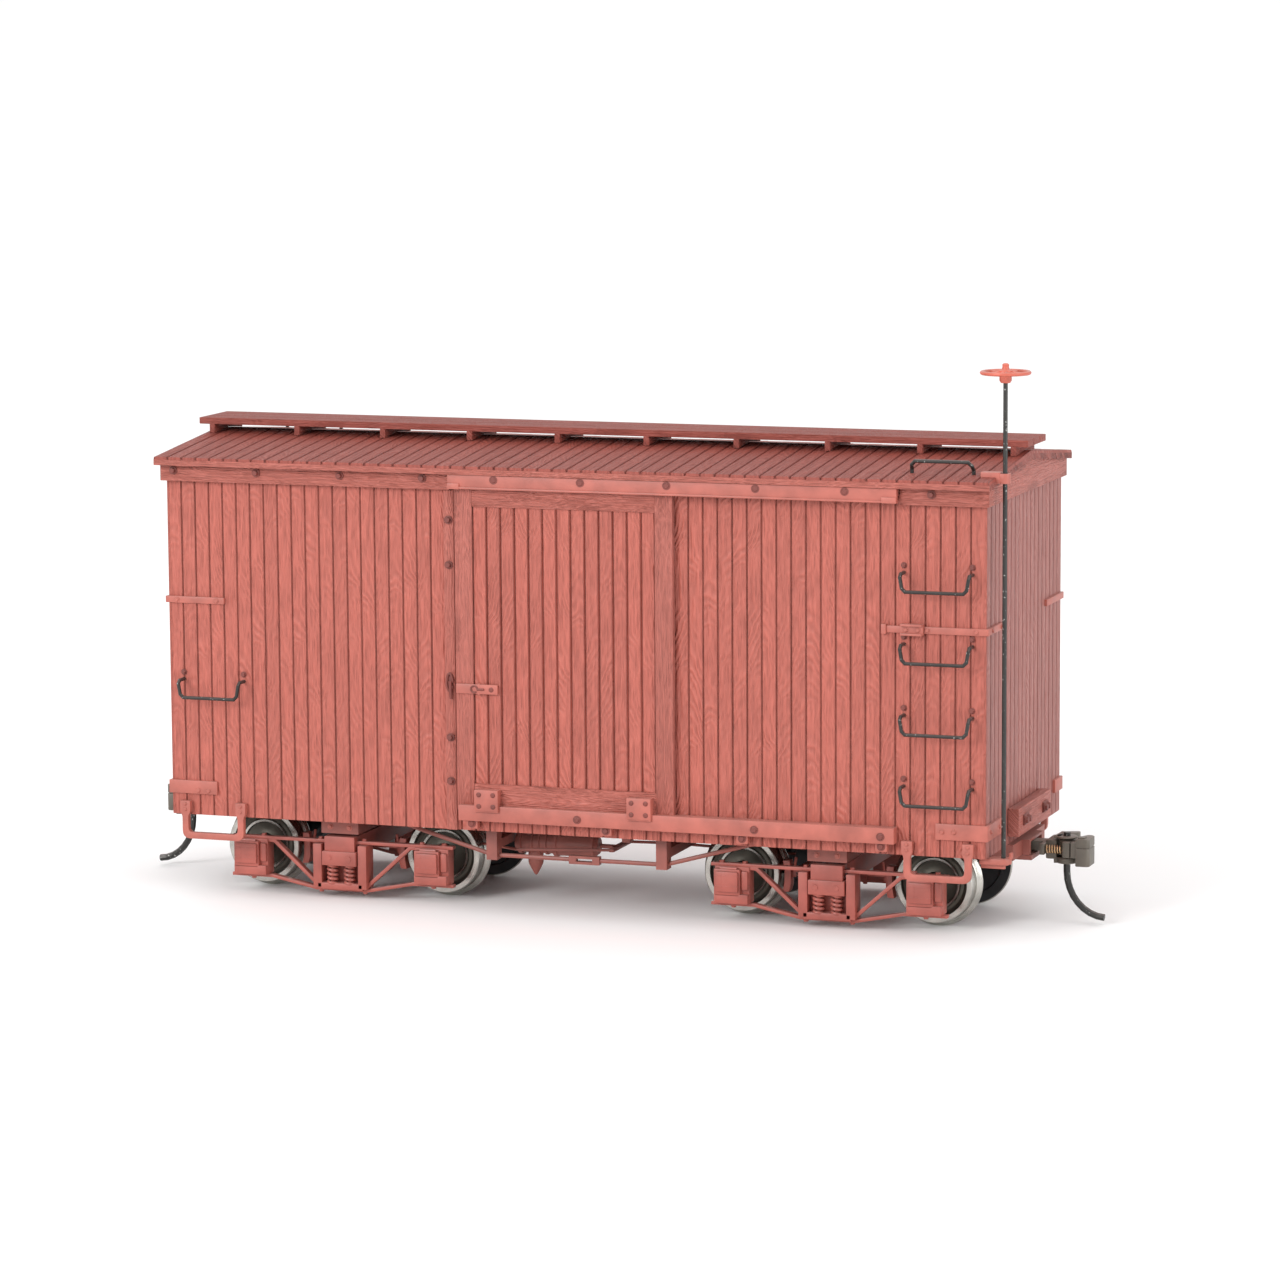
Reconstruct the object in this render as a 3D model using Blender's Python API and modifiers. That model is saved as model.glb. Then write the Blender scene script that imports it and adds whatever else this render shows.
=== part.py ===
"""Model box car: a 1:48 narrow-gauge wooden box car on two arch-bar trucks.

Frame: +X runs along the car towards the end with the brake staff, +Y across it, +Z up.
The origin is under the middle of the car, level with the lowest point of the wheel flanges.
The near side is -Y and the brake end is the A end. The far side and the B end repeat them,
turned half a turn about Z, as on the real car.
"""
import math

import bmesh
import bpy
from mathutils import Matrix, Vector

MM = 0.001
HALF_TURN = Matrix.Diagonal((-1.0, -1.0, 1.0, 1.0))     # about Z, with no rounding

# ---------------------------------------------------------------- clearances
SEAT = 0.05 * MM            # between fixed pieces that touch
RUN = 0.06 * MM             # round a turning pin, staff or axle
SLIDE = 0.15 * MM           # between faces that slide or swing past each other
BURY = 0.4 * MM             # how far one shape reaches into the shape it is joined to

# ---------------------------------------------------------------- body
BODY_LENGTH = 114.3 * MM
BODY_WIDTH = 38.1 * MM
BODY_HEIGHT = 45.6 * MM     # skirt to underside of the fascia boards
WALL = 1.2 * MM
SKIRT = 1.2 * MM            # the siding hangs this far below the underframe
DOORWAY_WIDTH = 26.0 * MM
DOORWAY_TOP_DROP = 2.0 * MM  # doorway top below the fascia

FASCIA_HEIGHT = 2.2 * MM
FASCIA_SIDE = 0.93 * MM
FASCIA_END = 0.54 * MM
ROOF_THICKNESS = 1.15 * MM
ROOF_RISE = 2.05 * MM       # eave to ridge
ROOF_OVERHANG_SIDE = 2.15 * MM
ROOF_OVERHANG_END = 0.9 * MM
BOARD_WIDTH = 9.4 * MM
BOARD_THICKNESS = 0.9 * MM
BOARD_OVERHANG = 1.55 * MM  # running board past the body end
SADDLES = 10
SADDLE_WIDTH = 0.75 * MM
SADDLE_HEIGHT = 0.75 * MM   # over the ridge

# ---------------------------------------------------------------- wheels and trucks
TREAD_RADIUS = 5.25 * MM
FLANGE_DEPTH = 0.75 * MM
WHEEL_WIDTH = 2.8 * MM
FLANGE_WIDTH = 0.7 * MM
BACK_TO_BACK = 14.5 * MM
AXLE_RADIUS = 1.0 * MM
JOURNAL_RADIUS = 0.6 * MM
JOURNAL_END = 13.5 * MM     # from the car's centre line
WHEELBASE = 26.4 * MM
TRUCK_INSET = 22.65 * MM    # truck centre from the body end
WHEEL_HEADROOM = 0.6 * MM   # flange top to underframe
FRAME_Y = 13.6 * MM         # middle of the arch bars, from the centre line
BAR_DEPTH = 1.0 * MM
BAR_THICKNESS = 0.45 * MM
FRAME_HALF = 16.2 * MM
BOX_WIDTH = 4.8 * MM
BOX_DEPTH = 2.8 * MM
LID_WIDTH = 2.4 * MM
COLUMN_X = 3.2 * MM
BOLSTER_HALF = 2.2 * MM
BODY_BOLSTER_HALF = 2.7 * MM
KINGPIN_RADIUS = 1.0 * MM

# ---------------------------------------------------------------- underframe
FLOOR_PLATE = 0.6 * MM
WEIGHT_LENGTH = 80.0 * MM
WEIGHT_WIDTH = 22.0 * MM
WEIGHT_THICKNESS = 1.55 * MM
DECK_THICKNESS = 0.6 * MM
SILL_DROP = 3.0 * MM
SILL_WIDTH = 1.4 * MM
SIDE_SILL_DROP = 1.6 * MM
TRUSS_INSET = 4.05 * MM     # truss rod in from the body side
ROD_RADIUS = 0.3 * MM
POST_X = 12.0 * MM
POST_WIDTH = 1.5 * MM
POST_DROP = 5.7 * MM        # underframe to the bottom of a queen post
TRUSS_DROP = 5.15 * MM      # underframe to the level part of a truss rod
TRUSS_RISE = 0.28           # slope of a truss rod outside the queen posts
TRUSS_REACH = 12.6 * MM     # length of that slope along the car

# ---------------------------------------------------------------- couplers
COUPLER_DROP = 2.45 * MM    # underframe to the middle of the shank
SHANK_THICKNESS = 1.4 * MM
SHANK_WIDTH = 2.2 * MM
SHANK_INSET = 4.65 * MM     # swing post inside the body end
SWING_RADIUS = 1.0 * MM
POCKET_HALF = 2.8 * MM
POCKET_WALL = 0.8 * MM
POCKET_OVERHANG = 1.75 * MM
KNUCKLE_X = 6.15 * MM       # knuckle pin past the body end
KNUCKLE_Y = -0.9 * MM
KNUCKLE_PIN = 0.47 * MM
KNUCKLE_HALF = 1.05 * MM    # half the height of the knuckle's hub
HEAD_HALF = 1.8 * MM

# ---------------------------------------------------------------- doors
DOOR_WIDTH = 30.4 * MM
DOOR_THICKNESS = 0.95 * MM
STILE = 2.45 * MM
TOP_RAIL = 2.1 * MM
BOTTOM_RAIL = 3.65 * MM
PANEL_RECESS = 0.25 * MM
TRACK_DEPTH = 1.85 * MM
TRACK_HEIGHT = 2.1 * MM
TRACK_RISE = 1.6 * MM       # track bottom over the skirt

# ---------------------------------------------------------------- fittings
WIRE_RADIUS = 0.26 * MM
GRAB_STANDOFF = 2.0 * MM
GRAB_DROP = 2.25 * MM
HOLE_DEPTH = 0.7 * MM
STRAP = 0.35 * MM
STRAP_REACH = 13.75 * MM    # longest strap iron, from the corner along the side
DOOR_STOP = 0.4 * MM        # open door to that strap
STAFF_RADIUS = 0.3 * MM
STAFF_OVERHANG = 1.85 * MM
STAFF_INSET = 1.95 * MM     # staff in from the body side
STAFF_ABOVE_RIDGE = 12.0 * MM
BRAKE_WHEEL_RADIUS = 3.3 * MM
BRAKE_RIM = 0.3 * MM
SPOKES = 5

# ---------------------------------------------------------------- worked out
HALF_LENGTH = BODY_LENGTH / 2
HALF_WIDTH = BODY_WIDTH / 2
FLANGE_RADIUS = TREAD_RADIUS + FLANGE_DEPTH
AXLE_Z = FLANGE_RADIUS
UNDERFRAME_Z = 2 * FLANGE_RADIUS + WHEEL_HEADROOM
BODY_Z = UNDERFRAME_Z - SKIRT
FASCIA_Z = BODY_Z + BODY_HEIGHT
EAVE_Z = FASCIA_Z + FASCIA_HEIGHT
ROOF_HALF_WIDTH = HALF_WIDTH + ROOF_OVERHANG_SIDE
ROOF_HALF_LENGTH = HALF_LENGTH + ROOF_OVERHANG_END
ROOF_SLOPE = ROOF_RISE / ROOF_HALF_WIDTH
RIDGE_Z = EAVE_Z + ROOF_RISE + ROOF_THICKNESS
INNER_HALF_LENGTH = HALF_LENGTH - WALL
INNER_HALF_WIDTH = HALF_WIDTH - WALL
WEIGHT_Z = UNDERFRAME_Z + FLOOR_PLATE + SEAT
DECK_Z = WEIGHT_Z + WEIGHT_THICKNESS + SEAT
DECK_TOP = DECK_Z + DECK_THICKNESS
TRUCK_X = HALF_LENGTH - TRUCK_INSET
TRUSS_Y = HALF_WIDTH - TRUSS_INSET
BODY_BOLSTER_Z = UNDERFRAME_Z - 3.6 * MM
TRUCK_TOP = BODY_BOLSTER_Z - 0.1 * MM
COUPLER_Z = UNDERFRAME_Z - COUPLER_DROP
SWING_X = HALF_LENGTH - SHANK_INSET
PIN_X = HALF_LENGTH + KNUCKLE_X
STAFF_X = HALF_LENGTH + STAFF_OVERHANG
STAFF_Y = -HALF_WIDTH + STAFF_INSET
DOOR_BACK = HALF_WIDTH + 2 * SEAT
DOOR_FACE = DOOR_BACK + DOOR_THICKNESS
TRACK_Z = BODY_Z + TRACK_RISE
TRACK_FACE = HALF_WIDTH + TRACK_DEPTH
DOOR_Z = TRACK_Z + TRACK_HEIGHT + SLIDE
DOOR_TOP = FASCIA_Z + 1.0 * MM
DOOR_TRAVEL = HALF_LENGTH - STRAP_REACH - DOOR_STOP - DOOR_WIDTH / 2
LADDER_X = (HALF_LENGTH - 10.95 * MM, HALF_LENGTH - 1.85 * MM)


def roof_under(y):
    """Height of the underside of the roof at y."""
    return EAVE_Z + ROOF_SLOPE * (ROOF_HALF_WIDTH - abs(y))


def roof_top(y):
    """Height of the top of the roof at y."""
    return roof_under(y) + ROOF_THICKNESS


# ================================================================ scene and materials
for old in list(bpy.data.objects):
    bpy.data.objects.remove(old, do_unlink=True)

PARTS = bpy.data.collections.new("model_box_car")
CUTTERS = bpy.data.collections.new("cutters")
bpy.context.scene.collection.children.link(PARTS)
bpy.context.scene.collection.children.link(CUTTERS)


def material(name, colour, roughness, metallic=0.0):
    """A Principled material."""
    made = bpy.data.materials.new(name)
    made.use_nodes = True
    shader = made.node_tree.nodes["Principled BSDF"]
    shader.inputs["Base Color"].default_value = (*colour, 1.0)
    shader.inputs["Roughness"].default_value = roughness
    shader.inputs["Metallic"].default_value = metallic
    made.diffuse_color = (*colour, 1.0)
    return made


OXIDE = material("oxide_red", (0.45, 0.105, 0.075), 0.6)
ROOF_RED = material("roof_red", (0.36, 0.085, 0.065), 0.65)
TRUCK_RED = material("truck_red", (0.5, 0.08, 0.055), 0.5)
WIRE_BLACK = material("wire_black", (0.03, 0.032, 0.034), 0.35, 0.6)
WHEEL_METAL = material("wheel_metal", (0.46, 0.46, 0.44), 0.25, 1.0)
COUPLER_GREY = material("coupler_grey", (0.11, 0.1, 0.085), 0.45)
SPRING_BRONZE = material("spring_bronze", (0.55, 0.36, 0.19), 0.3, 1.0)
STEEL = material("bright_steel", (0.5, 0.5, 0.5), 0.4, 1.0)


# ================================================================ shapes
def mesh_from(bm):
    """A mesh data block made from bm, which is freed."""
    mesh = bpy.data.meshes.new("shape")
    bm.to_mesh(mesh)
    bm.free()
    return mesh


def box(x, y, z):
    """A box from three (low, high) spans."""
    bm = bmesh.new()
    bmesh.ops.create_cube(bm, size=1.0)
    spans = [sorted(span) for span in (x, y, z)]
    for vert in bm.verts:
        vert.co = [span[along > 0] for span, along in zip(spans, vert.co)]
    return mesh_from(bm)


def cylinder(start, end, radius, sides=12):
    """A cylinder between two points."""
    start, end = Vector(start), Vector(end)
    bm = bmesh.new()
    bmesh.ops.create_cone(bm, cap_ends=True, segments=sides, radius1=radius, radius2=radius,
                          depth=(end - start).length)
    turn = (end - start).to_track_quat("Z", "Y").to_matrix().to_4x4()
    bm.transform(Matrix.Translation((start + end) / 2) @ turn)
    return mesh_from(bm)


def evaluated(obj):
    """The object's mesh with its modifiers applied, in world space. The object is removed."""
    bpy.context.view_layer.update()
    graph = bpy.context.evaluated_depsgraph_get()
    mesh = bpy.data.meshes.new_from_object(obj.evaluated_get(graph))
    mesh.transform(obj.matrix_world)
    bpy.data.objects.remove(obj, do_unlink=True)
    bm = bmesh.new()
    bm.from_mesh(mesh)
    bmesh.ops.remove_doubles(bm, verts=bm.verts, dist=0.0005 * MM)
    bm.to_mesh(mesh)
    bm.free()
    return mesh


def curve_object(splines, dimensions, cyclic):
    """A curve object of POLY splines."""
    curve = bpy.data.curves.new("curve", "CURVE")
    curve.dimensions = dimensions
    for points in splines:
        spline = curve.splines.new("POLY")
        spline.points.add(len(points) - 1)
        for knot, point in zip(spline.points, points):
            knot.co = (*point, *[0.0] * (3 - len(point)), 1.0)
        spline.use_cyclic_u = cyclic
    obj = bpy.data.objects.new("curve", curve)
    CUTTERS.objects.link(obj)
    return obj


def plate(outlines, axis, low, high):
    """Flat outlines, the first with the rest as holes, extruded from low to high along an axis.

    Outline points are (y, z) for X, (x, z) for Y and (x, y) for Z.
    """
    obj = curve_object(outlines, "2D", True)
    obj.data.fill_mode = "BOTH"
    obj.data.extrude = abs(high - low) / 2
    mesh = evaluated(obj)
    low, high = sorted((low, high))
    for vert in mesh.vertices:
        across, up, along = vert.co
        vert.co = {"X": (high if along > 0 else low, across, up),
                   "Y": (across, low if along > 0 else high, up),
                   "Z": (across, up, high if along > 0 else low)}[axis]
    return mesh


def wire(points, radius):
    """A round wire along points."""
    obj = curve_object([points], "3D", False)
    obj.data.bevel_depth = radius
    obj.data.bevel_resolution = 2
    obj.data.use_fill_caps = True
    mesh = evaluated(obj)
    mesh.shade_smooth()
    mesh.set_sharp_from_angle(angle=math.radians(40))
    return mesh


def turned(profile, place, steps=20):
    """A solid of revolution. Profile points are (radius, height); place maps its Z axis."""
    mesh = bpy.data.meshes.new("profile")
    links = [(i, i + 1) for i in range(len(profile) - 1)]
    mesh.from_pydata([(radius, 0.0, height) for radius, height in profile], links, [])
    obj = bpy.data.objects.new("profile", mesh)
    CUTTERS.objects.link(obj)
    screw = obj.modifiers.new("screw", "SCREW")
    screw.steps = screw.render_steps = steps
    screw.use_merge_vertices = True
    screw.merge_threshold = 0.0005 * MM
    made = evaluated(obj)
    made.transform(place)
    made.shade_smooth()
    made.set_sharp_from_angle(angle=math.radians(40))
    return made


def tool(mesh):
    """An object for a Boolean, kept out of the render."""
    obj = bpy.data.objects.new("cutter", mesh)
    CUTTERS.objects.link(obj)
    obj.hide_render = True
    obj.display_type = "WIRE"
    return obj


def turned_ring(radius, thickness, height, steps=28, sides=8):
    """A round ring: a closed circle turned about Z."""
    bm = bmesh.new()
    bmesh.ops.create_circle(bm, segments=sides, radius=thickness)
    bm.transform(Matrix.Translation((radius, 0, height)) @ Matrix.Rotation(math.pi / 2, 4, "X"))
    mesh = mesh_from(bm)
    obj = tool(mesh)
    screw = obj.modifiers.new("screw", "SCREW")
    screw.steps = screw.render_steps = steps
    screw.use_merge_vertices = True
    screw.merge_threshold = 0.0005 * MM
    return evaluated(obj)


def work(obj, mesh, operation):
    """Add a Boolean of mesh, which is in world space, to obj."""
    modifier = obj.modifiers.new(operation.lower(), "BOOLEAN")
    modifier.operation = operation
    modifier.object = tool(mesh)
    return modifier


def fused(base, add=(), cut=()):
    """base joined with each shape in add, then cut by each in cut, as one plain mesh."""
    obj = tool(base)
    jobs = [work(obj, mesh, "UNION") for mesh in add]
    jobs += [work(obj, mesh, "DIFFERENCE") for mesh in cut]
    tools = [job.object for job in jobs]
    mesh = evaluated(obj)
    for used in tools:
        bpy.data.objects.remove(used, do_unlink=True)
    return mesh


def group(meshes):
    """Several separate shapes as one cutter."""
    bm = bmesh.new()
    for mesh in meshes:
        bm.from_mesh(mesh)
    return mesh_from(bm)


def piece(name, mesh, look, origin=(0, 0, 0), half_turn=False, parent=None):
    """A named part. The mesh is in its own space; half_turn swaps it end for end about Z."""
    shared = mesh if mesh.users == 0 else mesh.copy()
    shared.materials.clear()
    shared.materials.append(look)
    obj = bpy.data.objects.new(name, shared)
    PARTS.objects.link(obj)
    obj.rotation_euler.z = math.pi if half_turn else 0.0
    place = Vector(origin)
    if parent:
        obj.parent = parent
        place -= Vector(parent.location)
    obj.location = place
    return obj


def body_axis(name, origin):
    """An empty on a joint's axis."""
    empty = bpy.data.objects.new(name, None)
    empty.location = origin
    empty.empty_display_size = 5 * MM
    PARTS.objects.link(empty)
    return empty


def pair(names, mesh, look):
    """The same part on the car and on its other side or end, half a turn away."""
    for name, half_turn in zip(names, (False, True)):
        piece(name, mesh, look, half_turn=half_turn)


def both_ends(meshes):
    """The shapes together with their copies half a turn away."""
    copies = []
    for mesh in meshes:
        copy = mesh.copy()
        copy.transform(HALF_TURN)
        copies.append(copy)
    return list(meshes) + copies


# ================================================================ body shell
def gable(half_width, bottom, drop):
    """A cross-section with the roof's slope, its top a drop below the roof's underside."""
    side = roof_under(half_width) - drop
    ridge = roof_under(0) - drop
    return [(-half_width, bottom), (half_width, bottom), (half_width, side), (0, ridge), (-half_width, side)]


def corner_strap(x_in, y_in, low, high, side):
    """Strap iron round an A-end corner, on the near side (-1) or the far side (+1)."""
    outer = (HALF_LENGTH + STRAP, HALF_WIDTH + STRAP)
    inner = (HALF_LENGTH - BURY, HALF_WIDTH - BURY)
    angle = [(x_in, outer[1]), outer, (outer[0], y_in), (inner[0], y_in), inner, (x_in, inner[1])]
    return plate([[(x, side * y) for x, y in angle]], "Z", low, high)


GRABS = []      # (name, x span, foot height) on the near side
for number in range(4):
    GRABS.append((f"ladder_rung_{number + 1}", LADDER_X, BODY_Z + (9.05 + 9.25 * number) * MM))
GRABS.append(("corner_grab", (-LADDER_X[1] + 0.2 * MM, -LADDER_X[0] - 0.1 * MM), BODY_Z + 18.6 * MM))


def foot_holes():
    """Blind holes for the ends of the side grab irons."""
    holes = []
    for _, span, height in GRABS:
        for x in span:
            start = (x, -HALF_WIDTH - BURY, height)
            end = (x, -HALF_WIDTH + HOLE_DEPTH + SEAT, height)
            holes.append(cylinder(start, end, WIRE_RADIUS + SEAT, 8))
    return group(both_ends(holes))


def make_body_shell():
    """Four walls with a doorway in each side, door posts and strap irons."""
    walls = plate([gable(HALF_WIDTH, BODY_Z, SEAT)], "X", -HALF_LENGTH, HALF_LENGTH)
    shell = piece("body_shell", walls, OXIDE)
    inside = box((-INNER_HALF_LENGTH, INNER_HALF_LENGTH), (-INNER_HALF_WIDTH, INNER_HALF_WIDTH),
                 (BODY_Z - BURY, RIDGE_Z))
    work(shell, inside, "DIFFERENCE")
    half_door = DOORWAY_WIDTH / 2
    doorway = box((-half_door, half_door), (-HALF_WIDTH - WALL, HALF_WIDTH + WALL),
                  (DECK_TOP + SEAT, FASCIA_Z - DOORWAY_TOP_DROP))
    work(shell, doorway, "DIFFERENCE")
    post_x = DOOR_WIDTH / 2 + 2 * SLIDE
    post = box((-post_x - 1.5 * MM, -post_x), (-HALF_WIDTH - 0.45 * MM, -HALF_WIDTH + BURY),
               (BODY_Z, FASCIA_Z - SEAT))
    staple_z = BODY_Z + 18.6 * MM
    staple = box((-post_x - 0.7 * MM, -post_x), (-DOOR_FACE, -HALF_WIDTH), (staple_z, staple_z + 1.6 * MM))
    details = [post, staple]
    middle = (BODY_Z + 29.0 * MM, BODY_Z + 29.9 * MM)
    low = BODY_Z + 2.3 * MM
    details.append(corner_strap(HALF_LENGTH - STRAP_REACH, 12.0 * MM, *middle, -1))
    details.append(corner_strap(HALF_LENGTH - 6.65 * MM, 12.5 * MM, low, low + 2.1 * MM, -1))
    details.append(corner_strap(HALF_LENGTH - 8.25 * MM, 10.5 * MM, *middle, 1))
    details.append(corner_strap(HALF_LENGTH - 6.75 * MM, 15.4 * MM, low + 0.6 * MM, low + 2.4 * MM, 1))
    for detail in both_ends(details):
        work(shell, detail, "UNION")
    work(shell, foot_holes(), "DIFFERENCE")


# ================================================================ roof and running board
COVER_X = (-DOOR_WIDTH / 2 - 0.6 * MM, DOOR_WIDTH / 2 + DOOR_TRAVEL + 2.7 * MM)
ROOF_GRAB_X = (HALF_LENGTH - 10.65 * MM, HALF_LENGTH - 2.45 * MM)
ROOF_GRAB_Y = -HALF_WIDTH + 2.55 * MM


def make_roof():
    """Two slopes with fascia boards round them, and the upper bracket of the brake staff."""
    fascia_half = HALF_WIDTH + FASCIA_SIDE
    ends = HALF_LENGTH + FASCIA_END
    band = plate([gable(fascia_half, FASCIA_Z, -ROOF_THICKNESS / 2)], "X", -ends, ends)
    roof = piece("roof", band, ROOF_RED)
    work(roof, box((-HALF_LENGTH - SEAT, HALF_LENGTH + SEAT), (-HALF_WIDTH - SEAT, HALF_WIDTH + SEAT),
                   (BODY_Z, RIDGE_Z + BURY)), "DIFFERENCE")
    half = ROOF_HALF_WIDTH
    slab = [(-half, EAVE_Z), (0, roof_under(0)), (half, EAVE_Z),
            (half, roof_top(half)), (0, RIDGE_Z), (-half, roof_top(half))]
    work(roof, plate([slab], "X", -ROOF_HALF_LENGTH, ROOF_HALF_LENGTH), "UNION")
    rebate = box((COVER_X[0] - SLIDE, COVER_X[1] + SLIDE), (-fascia_half - BURY, -HALF_WIDTH + BURY),
                 (BODY_Z, DOOR_TOP + SLIDE))
    work(roof, group(both_ends([rebate])), "DIFFERENCE")
    arm = box((HALF_LENGTH, STAFF_X + 0.75 * MM), (STAFF_Y - 1.0 * MM, STAFF_Y + 1.0 * MM),
              (roof_top(STAFF_Y) - 1.1 * MM, roof_top(STAFF_Y) + 0.6 * MM))
    work(roof, arm, "UNION")
    hole = cylinder((STAFF_X, STAFF_Y, BODY_Z), (STAFF_X, STAFF_Y, RIDGE_Z + 5 * MM), STAFF_RADIUS + RUN, 12)
    work(roof, hole, "DIFFERENCE")
    top = roof_top(ROOF_GRAB_Y)
    holes = [cylinder((x, ROOF_GRAB_Y, top - HOLE_DEPTH - SEAT), (x, ROOF_GRAB_Y, top + BURY),
                      WIRE_RADIUS + SEAT, 8) for x in ROOF_GRAB_X]
    work(roof, group(both_ends(holes)), "DIFFERENCE")


def make_running_board():
    """The walkway along the ridge on its saddles."""
    half = BOARD_WIDTH / 2
    bottom = RIDGE_Z + SEAT + SADDLE_HEIGHT
    length = HALF_LENGTH + BOARD_OVERHANG
    board = box((-length, length), (-half, half), (bottom, bottom + BOARD_THICKNESS))
    seat = [(-half, roof_top(half) + SEAT), (0, RIDGE_Z + SEAT), (half, roof_top(half) + SEAT),
            (half, bottom + BURY), (-half, bottom + BURY)]
    first = -HALF_LENGTH + SADDLE_WIDTH / 2
    pitch = -2 * first / (SADDLES - 1)
    saddles = []
    for number in range(SADDLES):
        x = first + pitch * number
        saddles.append(plate([seat], "X", x - SADDLE_WIDTH / 2, x + SADDLE_WIDTH / 2))
    piece("running_board", fused(board, add=saddles), ROOF_RED)


# ================================================================ underframe
def truss_points(reach):
    """Half-length route of a truss rod in the XZ plane, rising past the queen posts."""
    flat = UNDERFRAME_Z - TRUSS_DROP
    inner = POST_X + 0.2 * MM
    return [(inner, flat), (inner + reach, flat + TRUSS_RISE * reach)]


def truss_route(side, extra):
    """The truss rod's points on one side; extra lengthens both ends."""
    half = truss_points(TRUSS_REACH + extra)
    points = [(-x, side * TRUSS_Y, z) for x, z in reversed(half)]
    return points + [(x, side * TRUSS_Y, z) for x, z in half]


def make_underframe():
    """Floor plate with a pocket for the weight, sills, body bolsters and coupler pockets."""
    half_x, half_y = INNER_HALF_LENGTH - SEAT, INNER_HALF_WIDTH - SEAT
    block = box((-half_x, half_x), (-half_y, half_y), (UNDERFRAME_Z, DECK_Z - SEAT))
    frame = piece("underframe", block, OXIDE)
    play = 4 * SEAT
    pocket = box((-WEIGHT_LENGTH / 2 - play, WEIGHT_LENGTH / 2 + play),
                 (-WEIGHT_WIDTH / 2 - play, WEIGHT_WIDTH / 2 + play), (WEIGHT_Z - SEAT, DECK_TOP))
    work(frame, pocket, "DIFFERENCE")
    inside = UNDERFRAME_Z + BURY / 2
    root_end = half_x - BURY / 2
    sill_end = SWING_X - 5.5 * MM
    centre_sill = box((-sill_end, sill_end), (2.4 * MM, 2.4 * MM + SILL_WIDTH),
                      (UNDERFRAME_Z - SILL_DROP, inside))
    side_sill = box((-root_end, root_end), (TRUSS_Y - 0.9 * MM, TRUSS_Y + 0.9 * MM),
                    (UNDERFRAME_Z - SIDE_SILL_DROP, inside))
    bolster = box((TRUCK_X - BODY_BOLSTER_HALF, TRUCK_X + BODY_BOLSTER_HALF), (-TRUSS_Y + 0.4 * MM,
                                                                               TRUSS_Y - 0.4 * MM),
                  (BODY_BOLSTER_Z, inside))
    outside = BODY_Z - SEAT
    bottom = COUPLER_Z - SHANK_THICKNESS / 2 - SLIDE
    cheek = POCKET_HALF + POCKET_WALL
    front = HALF_LENGTH + POCKET_OVERHANG
    end_sill = box((INNER_HALF_LENGTH - 0.8 * MM, HALF_LENGTH + 0.75 * MM), (-8.2 * MM, 8.2 * MM),
                   (bottom, outside))
    end_root = box((INNER_HALF_LENGTH - 0.8 * MM, root_end), (-8.2 * MM, 8.2 * MM), (outside - BURY, inside))
    housing = box((SWING_X - 6.0 * MM, front), (-cheek, cheek), (bottom, outside))
    housing_root = box((SWING_X - 6.2 * MM, root_end), (-cheek, cheek), (outside - BURY, inside))
    for mesh in both_ends([centre_sill, side_sill, bolster, end_sill, end_root, housing, housing_root]):
        work(frame, mesh, "UNION")
    cavity = box((SWING_X - 3.2 * MM, front + BURY), (-POCKET_HALF, POCKET_HALF),
                 (bottom - BURY, COUPLER_Z + SHANK_THICKNESS / 2 + SLIDE))
    work(frame, group(both_ends([cavity])), "DIFFERENCE")
    post = cylinder((SWING_X, 0, bottom), (SWING_X, 0, outside), SWING_RADIUS, 16)
    for mesh in both_ends([post]):
        work(frame, mesh, "UNION")
    kingpin_hole = cylinder((TRUCK_X, 0, BODY_BOLSTER_Z - BURY), (TRUCK_X, 0, UNDERFRAME_Z + 0.2 * MM),
                            KINGPIN_RADIUS + SEAT, 16)
    work(frame, group(both_ends([kingpin_hole])), "DIFFERENCE")
    for side in (-1, 1):
        work(frame, wire(truss_route(side, 1.0 * MM), ROD_RADIUS + SEAT), "DIFFERENCE")


def make_floor():
    """The ballast weight in its pocket and the deck over it."""
    piece("ballast_weight", box((-WEIGHT_LENGTH / 2, WEIGHT_LENGTH / 2), (-WEIGHT_WIDTH / 2,
                                                                          WEIGHT_WIDTH / 2),
                                (WEIGHT_Z, WEIGHT_Z + WEIGHT_THICKNESS)), STEEL)
    half_x, half_y = INNER_HALF_LENGTH - SEAT, INNER_HALF_WIDTH - SEAT
    piece("floor_deck", box((-half_x, half_x), (-half_y, half_y), (DECK_Z, DECK_TOP)), OXIDE)


def make_truss_rods():
    """One rod each side, with a slotted turnbuckle near its middle."""
    flat = truss_points(0)[0][1]
    rod = wire(truss_route(-1, 0), ROD_RADIUS)
    buckle_x = (-1.2 * MM, 3.1 * MM)
    buckle = box(buckle_x, (-TRUSS_Y - 0.45 * MM, -TRUSS_Y + 0.45 * MM), (flat - 0.55 * MM, flat + 0.55 * MM))
    slot = box((buckle_x[0] + 1.0 * MM, buckle_x[1] - 1.0 * MM), (-TRUSS_Y - MM, -TRUSS_Y + MM),
               (flat - 0.2 * MM, flat + 0.2 * MM))
    pair(("truss_rod_near", "truss_rod_far"), fused(rod, add=[buckle], cut=[slot]), OXIDE)


def make_queen_posts():
    """A needle beam under the sills with a post at each end that carries the truss rods."""
    top = UNDERFRAME_Z - SIDE_SILL_DROP - SEAT
    beam_top = UNDERFRAME_Z - SILL_DROP - SEAT
    span = (POST_X - POST_WIDTH / 2, POST_X + POST_WIDTH / 2)
    beam = box(span, (-TRUSS_Y, TRUSS_Y), (beam_top - 1.2 * MM, beam_top))
    posts = [box(span, (side * TRUSS_Y - 0.9 * MM, side * TRUSS_Y + 0.9 * MM),
                 (UNDERFRAME_Z - POST_DROP, top))
             for side in (-1, 1)]
    holes = [wire(truss_route(side, 0), ROD_RADIUS + SEAT) for side in (-1, 1)]
    pair(("queen_posts_a", "queen_posts_b"), fused(beam, add=posts, cut=holes), OXIDE)


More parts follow.
